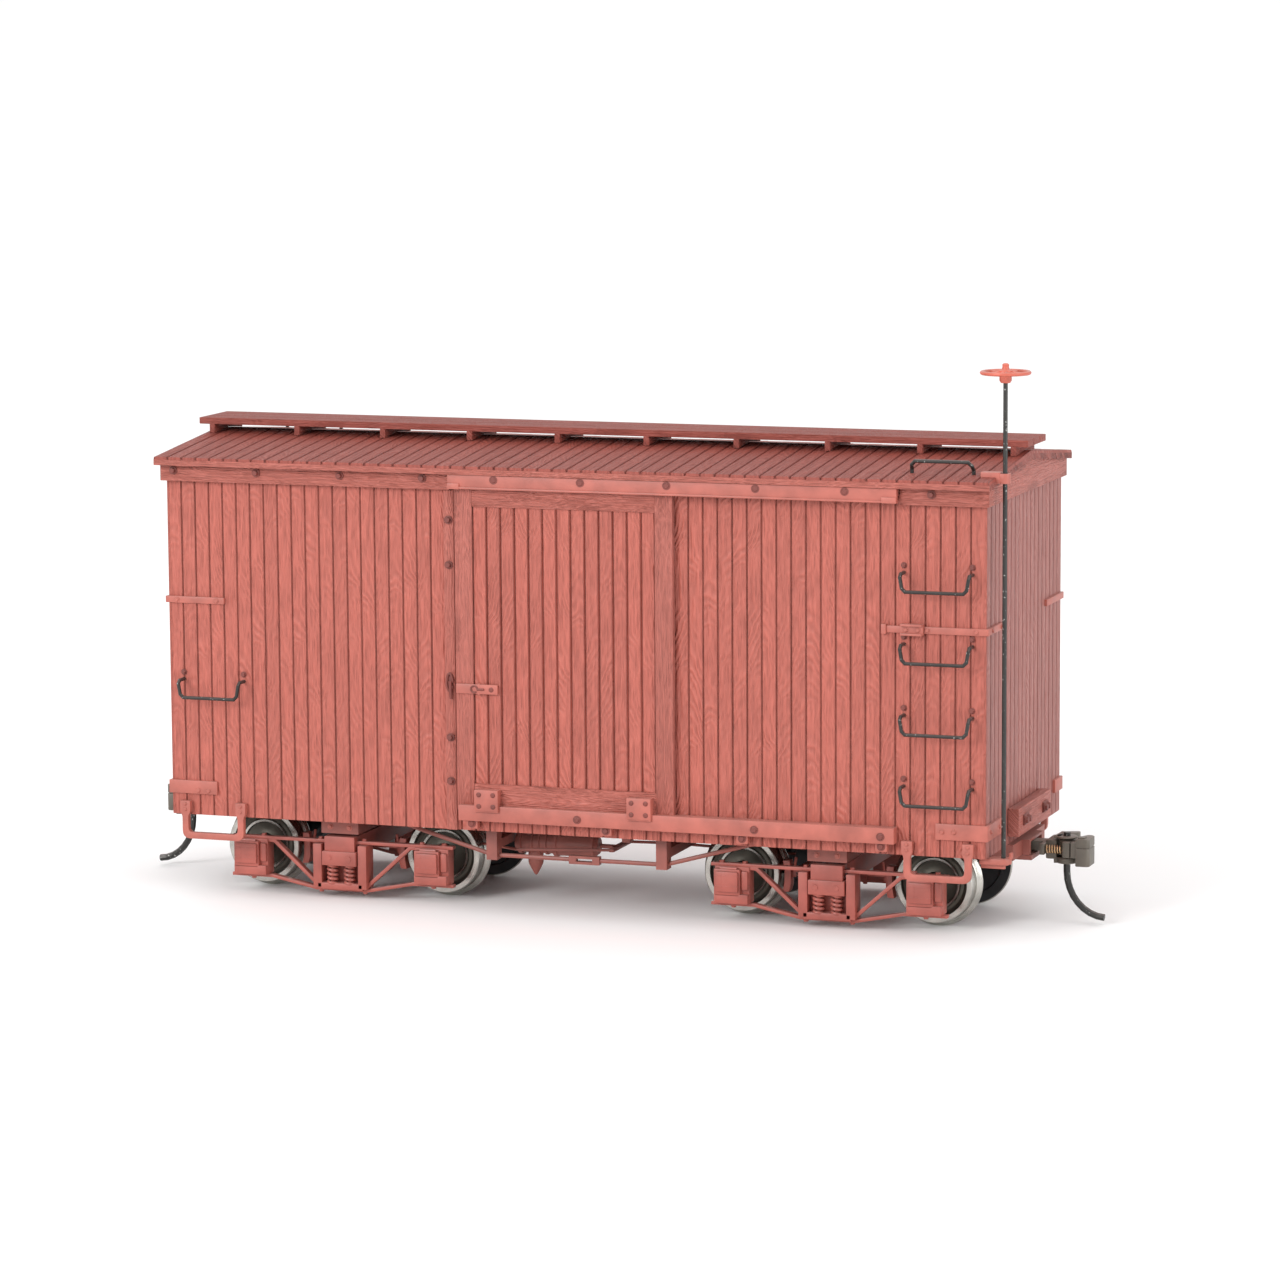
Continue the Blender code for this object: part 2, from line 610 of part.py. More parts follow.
def make_brake_cylinder():
    """Cylinder and reservoir on one axis under the floor, on two feet, with a drain cup."""
    y, z = -9.0 * MM, UNDERFRAME_Z - 4.3 * MM
    end = -POST_X + POST_WIDTH / 2 + 12.1 * MM
    lengths = [(0.0, 11.8), (1.1, 11.8), (1.2, 11.5), (1.2, 11.3), (1.65, 11.3), (1.65, 10.8), (1.4, 10.8),
               (1.4, 6.3), (1.75, 6.3), (1.75, 5.7), (1.6, 5.7), (1.6, 0.6), (1.2, 0.1), (0.0, 0.0)]
    profile = [(radius * MM, height * MM) for radius, height in lengths]
    place = Matrix.Translation((end, y, z)) @ Matrix.Rotation(-math.pi / 2, 4, "Y")
    barrel = turned(profile, place, 16)
    feet = [box((x - 0.5 * MM, x + 0.5 * MM), (y - 0.9 * MM, y + 0.9 * MM), (z, UNDERFRAME_Z - SEAT))
            for x in (end - 9.8 * MM, end - 1.8 * MM)]
    cup_top = z - 0.5 * MM
    cup = [(0.0, 0.0), (1.05 * MM, 0.0), (1.05 * MM, -2.4 * MM), (0.0, -4.0 * MM)]
    drain = turned(cup, Matrix.Translation((end - 9.1 * MM, y, cup_top)), 12)
    piece("brake_cylinder", fused(barrel, add=feet + [drain]), OXIDE)


def make_end_beams():
    """The deadwood block bolted on each end wall over the coupler."""
    beam = box((HALF_LENGTH + SEAT, HALF_LENGTH + 1.55 * MM), (-8.3 * MM, 8.3 * MM),
               (BODY_Z + 1.1 * MM, BODY_Z + 4.8 * MM))
    pair(("end_beam_a", "end_beam_b"), beam, OXIDE)


# ================================================================ trucks
def bars_outline():
    """The arch-bar side of a truck, in XZ: an outline and its openings."""
    tie_top = AXLE_Z - 3.25 * MM
    tie_bottom = tie_top - BAR_THICKNESS
    foot_top = AXLE_Z - 4.55 * MM
    foot_bottom = foot_top - BAR_THICKNESS
    top = AXLE_Z + 2.0 * MM
    top_under = top - BAR_THICKNESS
    box_in = WHEELBASE / 2 - BOX_WIDTH / 2
    foot = COLUMN_X + 0.6 * MM
    tip = 0.05 * MM     # the free ends of the bars are this much deeper
    half = [(foot, foot_bottom), (box_in - 0.5 * MM, tie_bottom), (FRAME_HALF, tie_bottom),
            (FRAME_HALF, tie_top + tip), (WHEELBASE / 2, tie_top + BURY), (WHEELBASE / 2, top_under - BURY),
            (FRAME_HALF, top_under - tip), (FRAME_HALF, top)]
    outer = half + [(-x, z) for x, z in reversed(half)]
    bar = BAR_THICKNESS * 1.2
    lean = [(box_in - 0.3 * MM, top_under), (foot, foot_top)]
    rise = (lean[0][1] - lean[1][1]) / (lean[0][0] - lean[1][0])
    side = foot + 0.2 * MM

    def on_bar(x):
        return lean[1][1] + rise * (x - lean[1][0])

    hidden = box_in + BURY
    under_bar = [(hidden, on_bar(hidden) - 2.2 * bar), (hidden, tie_top), (box_in - 0.5 * MM, tie_top),
                 (foot + 1.3 * MM, foot_top + 0.35 * MM)]
    over_bar = [(box_in - 1.2 * MM, top_under), (side, top_under), (side, on_bar(side) + bar)]
    window_top = top_under - 2 * tip
    window = [(-COLUMN_X, foot_top), (COLUMN_X, foot_top), (COLUMN_X, window_top), (-COLUMN_X, window_top)]
    holes = [window]
    for shape in (under_bar, over_bar):
        holes.append(shape)
        holes.append([(-x, z) for x, z in shape])
    return [outer] + holes


def make_sideframe_mesh():
    """Arch bars, journal boxes, spring seat, springs and bolster end, for the near side of a truck."""
    plane = (-FRAME_Y - BAR_DEPTH / 2, -FRAME_Y + BAR_DEPTH / 2)
    bars = plate(bars_outline(), "Y", *plane)
    inner = FRAME_Y - BAR_DEPTH / 2 - BURY
    outer = FRAME_Y + BAR_DEPTH / 2 + 0.8 * MM
    shapes = []
    for end in (-1, 1):
        x = end * WHEELBASE / 2
        back = -FRAME_Y + BOX_DEPTH / 2
        shapes.append(box((x - BOX_WIDTH / 2, x + BOX_WIDTH / 2), (back - BOX_DEPTH, back),
                          (AXLE_Z - 3.3 * MM, AXLE_Z + 1.6 * MM)))
        shapes.append(box((x - LID_WIDTH / 2, x + LID_WIDTH / 2), (back - BOX_DEPTH - 0.4 * MM,
                                                                   back - BOX_DEPTH + BURY),
                          (AXLE_Z - 1.7 * MM, AXLE_Z + 1.4 * MM)))
    seat_top = AXLE_Z - 3.8 * MM
    end_bottom = AXLE_Z - 1.35 * MM
    shapes.append(box((-COLUMN_X - 0.1 * MM, COLUMN_X + 0.1 * MM), (-outer, -inner),
                      (AXLE_Z - 4.9 * MM, seat_top)))
    shapes.append(box((-2.5 * MM, 2.5 * MM), (-outer - 0.3 * MM, -inner), (end_bottom, AXLE_Z + 0.6 * MM)))
    shapes.append(box((-BOLSTER_HALF, BOLSTER_HALF), (-outer, -inner), (AXLE_Z + 0.2 * MM,
                                                                        TRUCK_TOP - 0.25 * MM)))
    for x in (-1.35 * MM, 1.35 * MM):
        y = -FRAME_Y - 0.3 * MM
        shapes.append(cylinder((x, y, seat_top - BURY), (x, y, end_bottom + BURY), 0.6 * MM, 10))
    bores = [cylinder((x, -FRAME_Y + BOX_DEPTH, AXLE_Z), (x, -JOURNAL_END - SLIDE, AXLE_Z),
                      JOURNAL_RADIUS + RUN, 16)
             for x in (-WHEELBASE / 2, WHEELBASE / 2)]
    return fused(bars, add=shapes, cut=bores)


def make_bolster_mesh():
    """Cross beam with the centre plate, and the brake beams and shoes that hang from it."""
    reach = FRAME_Y - BAR_DEPTH / 2 - BURY - SEAT
    beam = box((-BOLSTER_HALF, BOLSTER_HALF), (-reach, reach), (AXLE_Z - 0.2 * MM, TRUCK_TOP - 0.25 * MM))
    add = [cylinder((0, 0, TRUCK_TOP - MM), (0, 0, TRUCK_TOP), 3.0 * MM, 20)]
    shoe_x = WHEELBASE / 2 - TREAD_RADIUS - 0.25 * MM
    tread_y = BACK_TO_BACK / 2 + FLANGE_WIDTH + SLIDE
    for end in (-1, 1):
        add.append(box((end * (shoe_x - 1.7 * MM), end * (shoe_x - 0.9 * MM)), (-9.0 * MM, 9.0 * MM),
                       (AXLE_Z - 0.4 * MM, AXLE_Z + 0.4 * MM)))
        for side in (-1, 1):
            add.append(box((end * (shoe_x - 1.2 * MM), end * shoe_x), (side * tread_y,
                                                                       side * (tread_y + 1.6 * MM)),
                           (AXLE_Z - 2.4 * MM, AXLE_Z + 1.9 * MM)))
            add.append(box((end * (BOLSTER_HALF - BURY), end * (shoe_x - 0.8 * MM)),
                           (side * (tread_y + 0.4 * MM), side * (tread_y + 1.2 * MM)),
        (AXLE_Z + 0.3 * MM, AXLE_Z + MM)))
    bore = cylinder((0, 0, AXLE_Z - MM), (0, 0, TRUCK_TOP + MM), KINGPIN_RADIUS + RUN, 16)
    return fused(beam, add=add, cut=[bore])


def make_wheelset_mesh():
    """An axle with its two wheels, turned about Y, with its origin at the axle's middle."""
    back = BACK_TO_BACK / 2
    face = back + WHEEL_WIDTH
    half = [(0.0, JOURNAL_END), (JOURNAL_RADIUS, JOURNAL_END - 0.2 * MM), (JOURNAL_RADIUS, face + 0.6 * MM),
            (1.5 * MM, face + 0.4 * MM), (1.5 * MM, face - 0.8 * MM), (3.3 * MM, face - MM),
            (4.3 * MM, face - 0.5 * MM), (4.5 * MM, face), (TREAD_RADIUS - 0.05 * MM, face),
            (TREAD_RADIUS, back + FLANGE_WIDTH), (FLANGE_RADIUS, back + 0.5 * FLANGE_WIDTH),
            (FLANGE_RADIUS - 0.15 * MM, back), (AXLE_RADIUS, back)]
    profile = half + [(radius, -height) for radius, height in reversed(half)]
    return turned(profile, Matrix.Rotation(math.pi / 2, 4, "X"), 20)


def make_trucks():
    """Both trucks. Each turns about its kingpin and carries two wheelsets."""
    sideframe = make_sideframe_mesh()
    bolster = make_bolster_mesh()
    wheelset = make_wheelset_mesh()
    head_z = AXLE_Z - 0.2 * MM - SEAT
    screw = fused(cylinder((0, 0, head_z - 0.8 * MM), (0, 0, head_z), 1.9 * MM, 16),
                  add=[cylinder((0, 0, head_z - BURY), (0, 0, UNDERFRAME_Z), KINGPIN_RADIUS, 16)])
    for letter, x in (("a", TRUCK_X), ("b", -TRUCK_X)):
        centre = (x, 0, 0)
        truck = body_axis(f"truck_{letter}", centre)
        piece(f"bolster_{letter}", bolster, TRUCK_RED, centre, parent=truck)
        piece(f"sideframe_{letter}_near", sideframe, TRUCK_RED, centre, parent=truck)
        piece(f"sideframe_{letter}_far", sideframe, TRUCK_RED, centre, half_turn=True, parent=truck)
        for name, offset in (("outer", math.copysign(WHEELBASE / 2, x)), ("inner",
                                                                          -math.copysign(WHEELBASE / 2,
                                                                                         x))):
            piece(f"wheelset_{letter}_{name}", wheelset, WHEEL_METAL, (x + offset, 0, AXLE_Z), parent=truck)
        piece(f"kingpin_screw_{letter}", screw, STEEL, centre)


# ================================================================ couplers
def make_coupler_head():
    """Shank with its swing eye, the head with a knuckle seat, guard arm and spring seat."""
    half = SHANK_THICKNESS / 2
    level = (COUPLER_Z - half, COUPLER_Z + half)
    tall = (COUPLER_Z - HEAD_HALF - 0.25 * MM, COUPLER_Z + HEAD_HALF - 0.25 * MM)
    back = PIN_X - 2.7 * MM
    shank = box((SWING_X, back + MM), (-SHANK_WIDTH / 2, SHANK_WIDTH / 2), level)
    eye = cylinder((SWING_X, 0, level[0]), (SWING_X, 0, level[1]), 2.1 * MM, 20)
    base = box((back, PIN_X - 0.9 * MM), (KNUCKLE_Y - 0.85 * MM, 2.6 * MM), tall)
    arm = [(-1.1, 3.5), (0.9, 4.1), (0.9, 3.0), (0.3, 1.9), (-1.1, 1.7)]
    guard_points = [(PIN_X + x * MM, KNUCKLE_Y + y * MM) for x, y in arm]
    guard = plate([guard_points], "Z", *tall)
    lugs = cylinder((PIN_X, KNUCKLE_Y, tall[0]), (PIN_X, KNUCKLE_Y, tall[1]), 1.45 * MM, 20)
    spring_seat = box((back - 0.5 * MM, back + 0.2 * MM), (KNUCKLE_Y - 2.4 * MM, 0.5 * MM),
                      (COUPLER_Z - 0.8 * MM, COUPLER_Z + 0.7 * MM))
    gap = cylinder((PIN_X, KNUCKLE_Y, COUPLER_Z - KNUCKLE_HALF - SLIDE),
                   (PIN_X, KNUCKLE_Y, COUPLER_Z + KNUCKLE_HALF + SLIDE), 1.55 * MM, 20)
    eye_bore = cylinder((SWING_X, 0, level[0] - MM), (SWING_X, 0, level[1] + MM), SWING_RADIUS + RUN, 20)
    pin_bore = cylinder((PIN_X, KNUCKLE_Y, tall[0] - MM), (PIN_X, KNUCKLE_Y, tall[1] + MM),
                        KNUCKLE_PIN + SEAT, 12)
    return fused(shank, add=[eye, base, guard, lugs, spring_seat], cut=[gap, eye_bore, pin_bore])


def make_knuckle():
    """Hub on the pin, heel for the spring and the tall jaw in front."""
    level = (COUPLER_Z - KNUCKLE_HALF, COUPLER_Z + KNUCKLE_HALF)
    hub = cylinder((PIN_X, KNUCKLE_Y, level[0]), (PIN_X, KNUCKLE_Y, level[1]), 1.0 * MM, 20)
    heel = box((PIN_X - 0.1 * MM, PIN_X + 1.9 * MM), (KNUCKLE_Y - 2.35 * MM, KNUCKLE_Y - 0.1 * MM), level)
    jaw = box((PIN_X + 1.7 * MM, PIN_X + 3.6 * MM), (KNUCKLE_Y - 2.5 * MM, KNUCKLE_Y + 1.2 * MM),
              (COUPLER_Z - HEAD_HALF - 0.3 * MM, COUPLER_Z + HEAD_HALF - 0.2 * MM))
    bore = cylinder((PIN_X, KNUCKLE_Y, level[0] - MM), (PIN_X, KNUCKLE_Y, level[1] + MM),
                    KNUCKLE_PIN + RUN, 12)
    return fused(hub, add=[heel, jaw], cut=[bore])


def make_trip_pin():
    """The knuckle's pin, which curves down and out as the trip wire."""
    bend_z, drop, reach = AXLE_Z + MM, AXLE_Z, 5.3 * MM
    points = [(PIN_X, KNUCKLE_Y, COUPLER_Z + HEAD_HALF + 0.25 * MM)]
    for step in range(9):
        angle = math.radians(88) * step / 8
        points.append((PIN_X + reach * (1 - math.cos(angle)), KNUCKLE_Y, bend_z - drop * math.sin(angle)))
    return wire(points, KNUCKLE_PIN)


def make_knuckle_spring():
    """Coil between the head's spring seat and the knuckle's heel."""
    start, end = PIN_X - 2.5 * MM + SEAT, PIN_X - 0.1 * MM - SEAT
    turns, steps, radius, gauge = 6, 8, 0.5 * MM, 0.09 * MM
    y, z = KNUCKLE_Y - 1.75 * MM, COUPLER_Z - 0.05 * MM
    count = turns * steps
    points = []
    for step in range(count + 1):
        angle = 2 * math.pi * step / steps
        x = start + gauge + (end - start - 2 * gauge) * step / count
        points.append((x, y + radius * math.cos(angle), z + radius * math.sin(angle)))
    return wire(points, gauge)


def make_couplers():
    """A coupler at each end, with its knuckle, pin, spring and pocket lid."""
    lid_top = COUPLER_Z - SHANK_THICKNESS / 2 - SLIDE - SEAT
    cheek = POCKET_HALF + POCKET_WALL
    lid = box((SWING_X - 6.0 * MM, HALF_LENGTH + POCKET_OVERHANG + 0.3 * MM), (-cheek, cheek),
              (lid_top - 0.6 * MM, lid_top))
    pair(("coupler_lid_a", "coupler_lid_b"), lid, OXIDE)
    shapes = {"coupler_head": (make_coupler_head(), COUPLER_GREY, (SWING_X, 0, COUPLER_Z)),
              "knuckle": (make_knuckle(), COUPLER_GREY, (PIN_X, KNUCKLE_Y, COUPLER_Z)),
              "trip_pin": (make_trip_pin(), WIRE_BLACK, (PIN_X, KNUCKLE_Y, COUPLER_Z)),
              "knuckle_spring": (make_knuckle_spring(), SPRING_BRONZE, (PIN_X, KNUCKLE_Y, COUPLER_Z))}
    for name, (mesh, look, origin) in shapes.items():
        mesh.transform(Matrix.Translation(-Vector(origin)))
        piece(f"{name}_a", mesh, look, origin)
        turned_origin = (-origin[0], -origin[1], origin[2])
        piece(f"{name}_b", mesh, look, turned_origin, half_turn=True)


# ================================================================ doors and tracks
def make_doors():
    """A framed, boarded door each side with shoes that ride over the bottom track."""
    half = DOOR_WIDTH / 2
    panel = box((-half, half), (-DOOR_FACE, -DOOR_BACK), (DOOR_Z, DOOR_TOP))
    recess = box((-half + STILE, half - STILE), (-DOOR_FACE - MM, -DOOR_FACE + PANEL_RECESS),
                 (DOOR_Z + BOTTOM_RAIL, FASCIA_Z - TOP_RAIL))
    shoe_z = TRACK_Z + 1.3 * MM
    add = []
    for x in (-half + 4.5 * MM, half - 4.5 * MM):
        span = (x - 1.7 * MM, x + 1.7 * MM)
        add.append(box(span, (-TRACK_FACE - SLIDE - 0.4 * MM, -DOOR_FACE + 0.2 * MM), (DOOR_Z,
                                                                                       shoe_z + 3.0 * MM)))
        add.append(box(span, (-TRACK_FACE - SLIDE - 0.4 * MM, -TRACK_FACE - SLIDE), (shoe_z, DOOR_Z + BURY)))
    hasp_z = BODY_Z + 18.6 * MM
    add.append(box((-half + 0.1 * MM, -half + 6.0 * MM), (-DOOR_FACE - 0.35 * MM, -DOOR_FACE + 0.2 * MM),
                   (hasp_z, hasp_z + 1.3 * MM)))
    door = fused(fused(panel, cut=[recess]), add=add)
    pair(("door_near", "door_far"), door, OXIDE)


def make_tracks():
    """The bottom rail with its brackets and the hood over the top of each door."""
    low = (-DOOR_WIDTH / 2 + 0.4 * MM, DOOR_WIDTH / 2 + DOOR_TRAVEL + 2.4 * MM)
    rail = box(low, (-TRACK_FACE, -HALF_WIDTH - SEAT), (TRACK_Z, TRACK_Z + TRACK_HEIGHT))
    brackets = []
    for number in range(4):
        x = low[0] + 1.7 * MM + (low[1] - low[0] - 3.6 * MM) * number / 3
        brackets.append(box((x - 0.8 * MM, x + 0.8 * MM), (-HALF_WIDTH - 0.9 * MM, -HALF_WIDTH - SEAT),
                            (TRACK_Z - 0.6 * MM, TRACK_Z + BURY)))
    pair(("door_track_bottom_near", "door_track_bottom_far"), fused(rail, add=brackets), OXIDE)
    face = HALF_WIDTH + FASCIA_SIDE + SEAT
    hood_face = ROOF_HALF_WIDTH - 0.1 * MM
    top = EAVE_Z - SEAT
    web = box(COVER_X, (-hood_face, -face), (DOOR_TOP + 2 * SLIDE, top))
    lip = box(COVER_X, (-hood_face, -DOOR_FACE - SLIDE), (FASCIA_Z + 0.3 * MM, top - 0.2 * MM))
    pair(("door_track_top_near", "door_track_top_far"), fused(web, add=[lip]), OXIDE)


# ================================================================ fittings
def grab_points(span, out, foot, drop):
    """A grab iron's points in its own plane: along the car, out from the wall, and height."""
    left, right = span
    side = [(left, -HOLE_DEPTH, foot), (left, out - 0.45 * MM, foot), (left, out, foot - 0.4 * MM),
            (left + 0.25 * MM, out, foot - drop + 0.45 * MM), (left + 0.7 * MM, out, foot - drop)]
    mirrored = [(right + left - x, o, z) for x, o, z in reversed(side)]
    return side + mirrored


def make_grab_irons():
    """Wire grab irons: a ladder and a corner grab on each side, and one on the roof at each end."""
    for name, span, height in GRABS:
        points = [(x, -HALF_WIDTH - out, z) for x, out, z in grab_points(span, GRAB_STANDOFF, height,
                                                                         GRAB_DROP)]
        pair((f"{name}_near", f"{name}_far"), wire(points, WIRE_RADIUS), WIRE_BLACK)
    top = roof_top(ROOF_GRAB_Y)
    left, right = ROOF_GRAB_X
    lean, height = 0.7 * MM, 1.6 * MM
    side = [(left, ROOF_GRAB_Y, top - HOLE_DEPTH), (left, ROOF_GRAB_Y, top + 0.5 * MM),
            (left + 0.1 * MM, ROOF_GRAB_Y - 0.7 * lean, top + height - 0.5 * MM),
            (left + 0.6 * MM, ROOF_GRAB_Y - lean, top + height)]
    points = side + [(right + left - x, y, z) for x, y, z in reversed(side)]
    pair(("roof_grab_near", "roof_grab_far"), wire(points, WIRE_RADIUS), WIRE_BLACK)


def make_steps():
    """A stirrup step under each corner: two bolted pads, two legs and a tread."""
    left, right = HALF_LENGTH - 11.05 * MM, HALF_LENGTH - 1.45 * MM
    pad, leg = 1.4 * MM, 0.8 * MM
    pad_top, pad_bottom, tread = BODY_Z + 1.95 * MM, BODY_Z + 0.4 * MM, BODY_Z - 3.2 * MM
    half = [(left, pad_top), (left, pad_bottom), (left + 0.3 * MM, pad_bottom - 0.4 * MM),
            (left + 0.3 * MM, tread + 0.4 * MM),
            (left + 0.7 * MM, tread)]
    inner = [(left + 1.1 * MM, tread + leg), (left + 1.1 * MM, pad_bottom - 0.4 * MM), (left + pad,
                                                                                        pad_bottom),
             (left + pad, pad_top)]
    outline = half + [(left + right - x, z) for x, z in reversed(half)]
    outline += [(left + right - x, z) for x, z in inner[::-1]] + inner
    step = plate([outline], "Y", -HALF_WIDTH - SEAT - leg, -HALF_WIDTH - SEAT)
    pair(("step_a_near", "step_b_far"), step, OXIDE)
    other = step.copy()
    other.transform(Matrix.Translation((-left - right, 0, 0)))
    pair(("step_b_near", "step_a_far"), other, OXIDE)


def make_brake_gear():
    """The hand brake: staff in its foot bracket, with a spoked wheel on top."""
    foot_top = BODY_Z - SEAT
    foot_low = foot_top - 1.4 * MM
    foot = box((HALF_LENGTH - WALL, STAFF_X + 1.3 * MM), (STAFF_Y - 1.1 * MM, STAFF_Y + 1.1 * MM),
               (foot_low, foot_top))
    hook = box((STAFF_X + 0.7 * MM, STAFF_X + 1.3 * MM), (STAFF_Y - 1.1 * MM, STAFF_Y + 1.1 * MM),
               (foot_top - BURY, foot_top + 0.8 * MM))
    staff_low = foot_low + 0.5 * MM
    socket = cylinder((STAFF_X, STAFF_Y, staff_low - SEAT), (STAFF_X, STAFF_Y, foot_top + MM),
                      STAFF_RADIUS + RUN, 12)
    piece("brake_staff_step", fused(foot, add=[hook], cut=[socket]), OXIDE)
    axis = (STAFF_X, STAFF_Y, 0)
    staff_top = RIDGE_Z + STAFF_ABOVE_RIDGE
    staff = body_axis("brake_staff_axis", axis)
    rod = cylinder((0, 0, staff_low), (0, 0, staff_top), STAFF_RADIUS, 12)
    piece("brake_staff", rod, WIRE_BLACK, axis, parent=staff)
    rim_z = staff_top - 0.4 * MM
    ring = turned_ring(BRAKE_WHEEL_RADIUS - BRAKE_RIM, BRAKE_RIM, rim_z)
    hub = cylinder((0, 0, rim_z - 1.3 * MM), (0, 0, rim_z + 0.7 * MM), 0.8 * MM, 12)
    knob = cylinder((0, 0, rim_z + 0.3 * MM), (0, 0, rim_z + 1.2 * MM), 0.4 * MM, 8)
    spokes = []
    for number in range(SPOKES):
        angle = 2 * math.pi * number / SPOKES
        reach = BRAKE_WHEEL_RADIUS - BRAKE_RIM
        end = (reach * math.cos(angle), reach * math.sin(angle), rim_z)
        spokes.append(cylinder((0, 0, rim_z), end, 0.22 * MM, 6))
    bore = cylinder((0, 0, rim_z - 2 * MM), (0, 0, staff_top + SEAT), STAFF_RADIUS + SEAT, 12)
    wheel = fused(ring, add=[hub, knob] + spokes, cut=[bore])
    piece("brake_wheel", wheel, TRUCK_RED, axis, parent=staff)


# ================================================================ build
make_body_shell()
make_roof()
make_running_board()
make_underframe()
make_floor()
make_truss_rods()
make_queen_posts()
make_brake_cylinder()
make_end_beams()
make_trucks()
make_couplers()
make_doors()
make_tracks()
make_grab_irons()
make_steps()
make_brake_gear()
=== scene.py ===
# %% [markdown]
# # A small wooden box car in moulded plastic
# The real thing is a model for a 1:48 narrow-gauge railway: a plastic body moulded as if it
# were built of boards, two red trucks with metal wheels, wire grab irons and a coupler at each
# end. The CAD frame already holds every size and joint. This lesson dresses that frame, piece
# by piece, with boards, bolts, springs and paint.

# %% Load the frame
import math

import bmesh
import bpy
from mathutils import Matrix, Vector


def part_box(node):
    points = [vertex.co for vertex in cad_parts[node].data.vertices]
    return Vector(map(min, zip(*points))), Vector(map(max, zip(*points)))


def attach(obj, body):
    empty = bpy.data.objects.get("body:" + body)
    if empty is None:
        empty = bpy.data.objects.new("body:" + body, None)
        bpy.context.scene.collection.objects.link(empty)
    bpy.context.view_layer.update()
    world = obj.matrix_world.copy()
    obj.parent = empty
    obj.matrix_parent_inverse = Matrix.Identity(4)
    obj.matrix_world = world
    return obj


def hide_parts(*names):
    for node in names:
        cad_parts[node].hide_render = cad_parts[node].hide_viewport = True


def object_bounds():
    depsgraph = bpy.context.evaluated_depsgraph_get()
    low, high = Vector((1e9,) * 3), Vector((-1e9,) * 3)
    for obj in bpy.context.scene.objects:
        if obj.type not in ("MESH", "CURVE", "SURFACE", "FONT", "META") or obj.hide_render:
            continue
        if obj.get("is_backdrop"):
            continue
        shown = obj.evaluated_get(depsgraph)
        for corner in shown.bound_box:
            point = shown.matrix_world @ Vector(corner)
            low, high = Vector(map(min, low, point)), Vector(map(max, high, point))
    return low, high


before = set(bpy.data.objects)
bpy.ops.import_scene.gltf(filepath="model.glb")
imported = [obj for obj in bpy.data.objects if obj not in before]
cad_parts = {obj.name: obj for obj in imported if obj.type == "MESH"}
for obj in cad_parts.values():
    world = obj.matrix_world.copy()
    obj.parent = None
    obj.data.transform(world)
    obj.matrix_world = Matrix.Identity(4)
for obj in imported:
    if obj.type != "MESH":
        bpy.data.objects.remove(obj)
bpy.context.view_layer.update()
MM = 0.001
HALF_TURN = Matrix.Diagonal((-1, -1, 1, 1))

# %% [markdown]
# The pieces are modelled in millimetres, as a model maker would measure them, and are turned
# into metres only when they are finished. The main sizes are read back from the frame, so that
# the looks follow the CAD part.


# %% Read the main sizes
def span(node, axis):
    """(lowest, highest) of a CAD node along an axis, in mm."""
    low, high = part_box(node)
    return low["XYZ".index(axis)] / MM, high["XYZ".index(axis)] / MM


SEAT = 0.05
BODY_END = span("underframe", "X")[1] - 1.75
BODY_SIDE = span("door_track_bottom_near", "Y")[1] * -1 - SEAT
BODY_LOW = span("body_shell", "Z")[0]
ROOF_END = span("roof", "X")[0] * -1
EAVE = span("roof", "Y")[1]
FASCIA_LOW = span("roof", "Z")[0]
RIDGE = span("roof", "Z")[1]
BOARD_LOW, BOARD_TOP = RIDGE + 0.8, span("running_board", "Z")[1]
BOARD_END, BOARD_SIDE = span("running_board", "X")[1], span("running_board", "Y")[1]
DECK_TOP = span("floor_deck", "Z")[1]
DOOR_HALF = span("door_near", "X")[1]
DOOR_LOW, DOOR_TOP = span("door_near", "Z")
RAIL_X = span("door_track_bottom_near", "X")
HOOD_X = span("door_track_top_near", "X")
TRUCK_X = sum(span("bolster_a", "X")) / 2
AXLE_Z = sum(span("wheelset_a_outer", "Z")) / 2
WHEELBASE = sum(span("wheelset_a_outer", "X")) / 2 - sum(span("wheelset_a_inner", "X")) / 2
STAFF = (sum(span("brake_staff", "X")) / 2, sum(span("brake_staff", "Y")) / 2)
EAVE_Z = FASCIA_LOW + 2.2
SLOPE = 2.05 / EAVE
SLAB = RIDGE - EAVE_Z - 2.05


def roof_under(y):
    """Height of the roof's underside at y."""
    return EAVE_Z + SLOPE * (EAVE - abs(y))


print("body half size", round(BODY_END, 2), round(BODY_SIDE, 2), "ridge", round(RIDGE, 2), "axle", AXLE_Z)

# %% [markdown]
# ## Finishes
# The body is matt plastic painted an iron-oxide red. Its grain is moulded in: long fibres, and
# on many boards the arches of a plain-sawn plank. Both have to run along every board whichever
# way it lies, so the pieces carry a "grain" attribute (across, depth, along) in millimetres and
# a "board" number that differs from one board to the next. One group of nodes turns the two
# into a height, and each wooden finish uses it for its bump, for painted shade that darkens the
# low places, and for a slight change of colour from board to board.


# %% Node helpers
def add_node(tree, kind, place=(0, 0), **settings):
    """A node with its settings; inputs are given by name through 'inputs'."""
    inputs = settings.pop("inputs", {})
    node = tree.nodes.new(kind)
    node.location = place
    for key, value in settings.items():
        setattr(node, key, value)
    for key, value in inputs.items():
        if isinstance(value, bpy.types.NodeSocket):
            tree.links.new(value, node.inputs[key])
        else:
            node.inputs[key].default_value = value
    return node


def maths(tree, operation, a, b=0.0):
    """A Math node's result."""
    node = add_node(tree, "ShaderNodeMath", operation=operation)
    for slot, value in zip(node.inputs, (a, b)):
        if isinstance(value, bpy.types.NodeSocket):
            tree.links.new(value, slot)
        else:
            slot.default_value = value
    return node.outputs[0]


def times(tree, a, b):
    """The product of two values."""
    return maths(tree, "MULTIPLY", a, b)


def plus(tree, a, b):
    """The sum of two values."""
    return maths(tree, "ADD", a, b)


def minus(tree, a, b):
    """The first value less the second."""
    return maths(tree, "SUBTRACT", a, b)


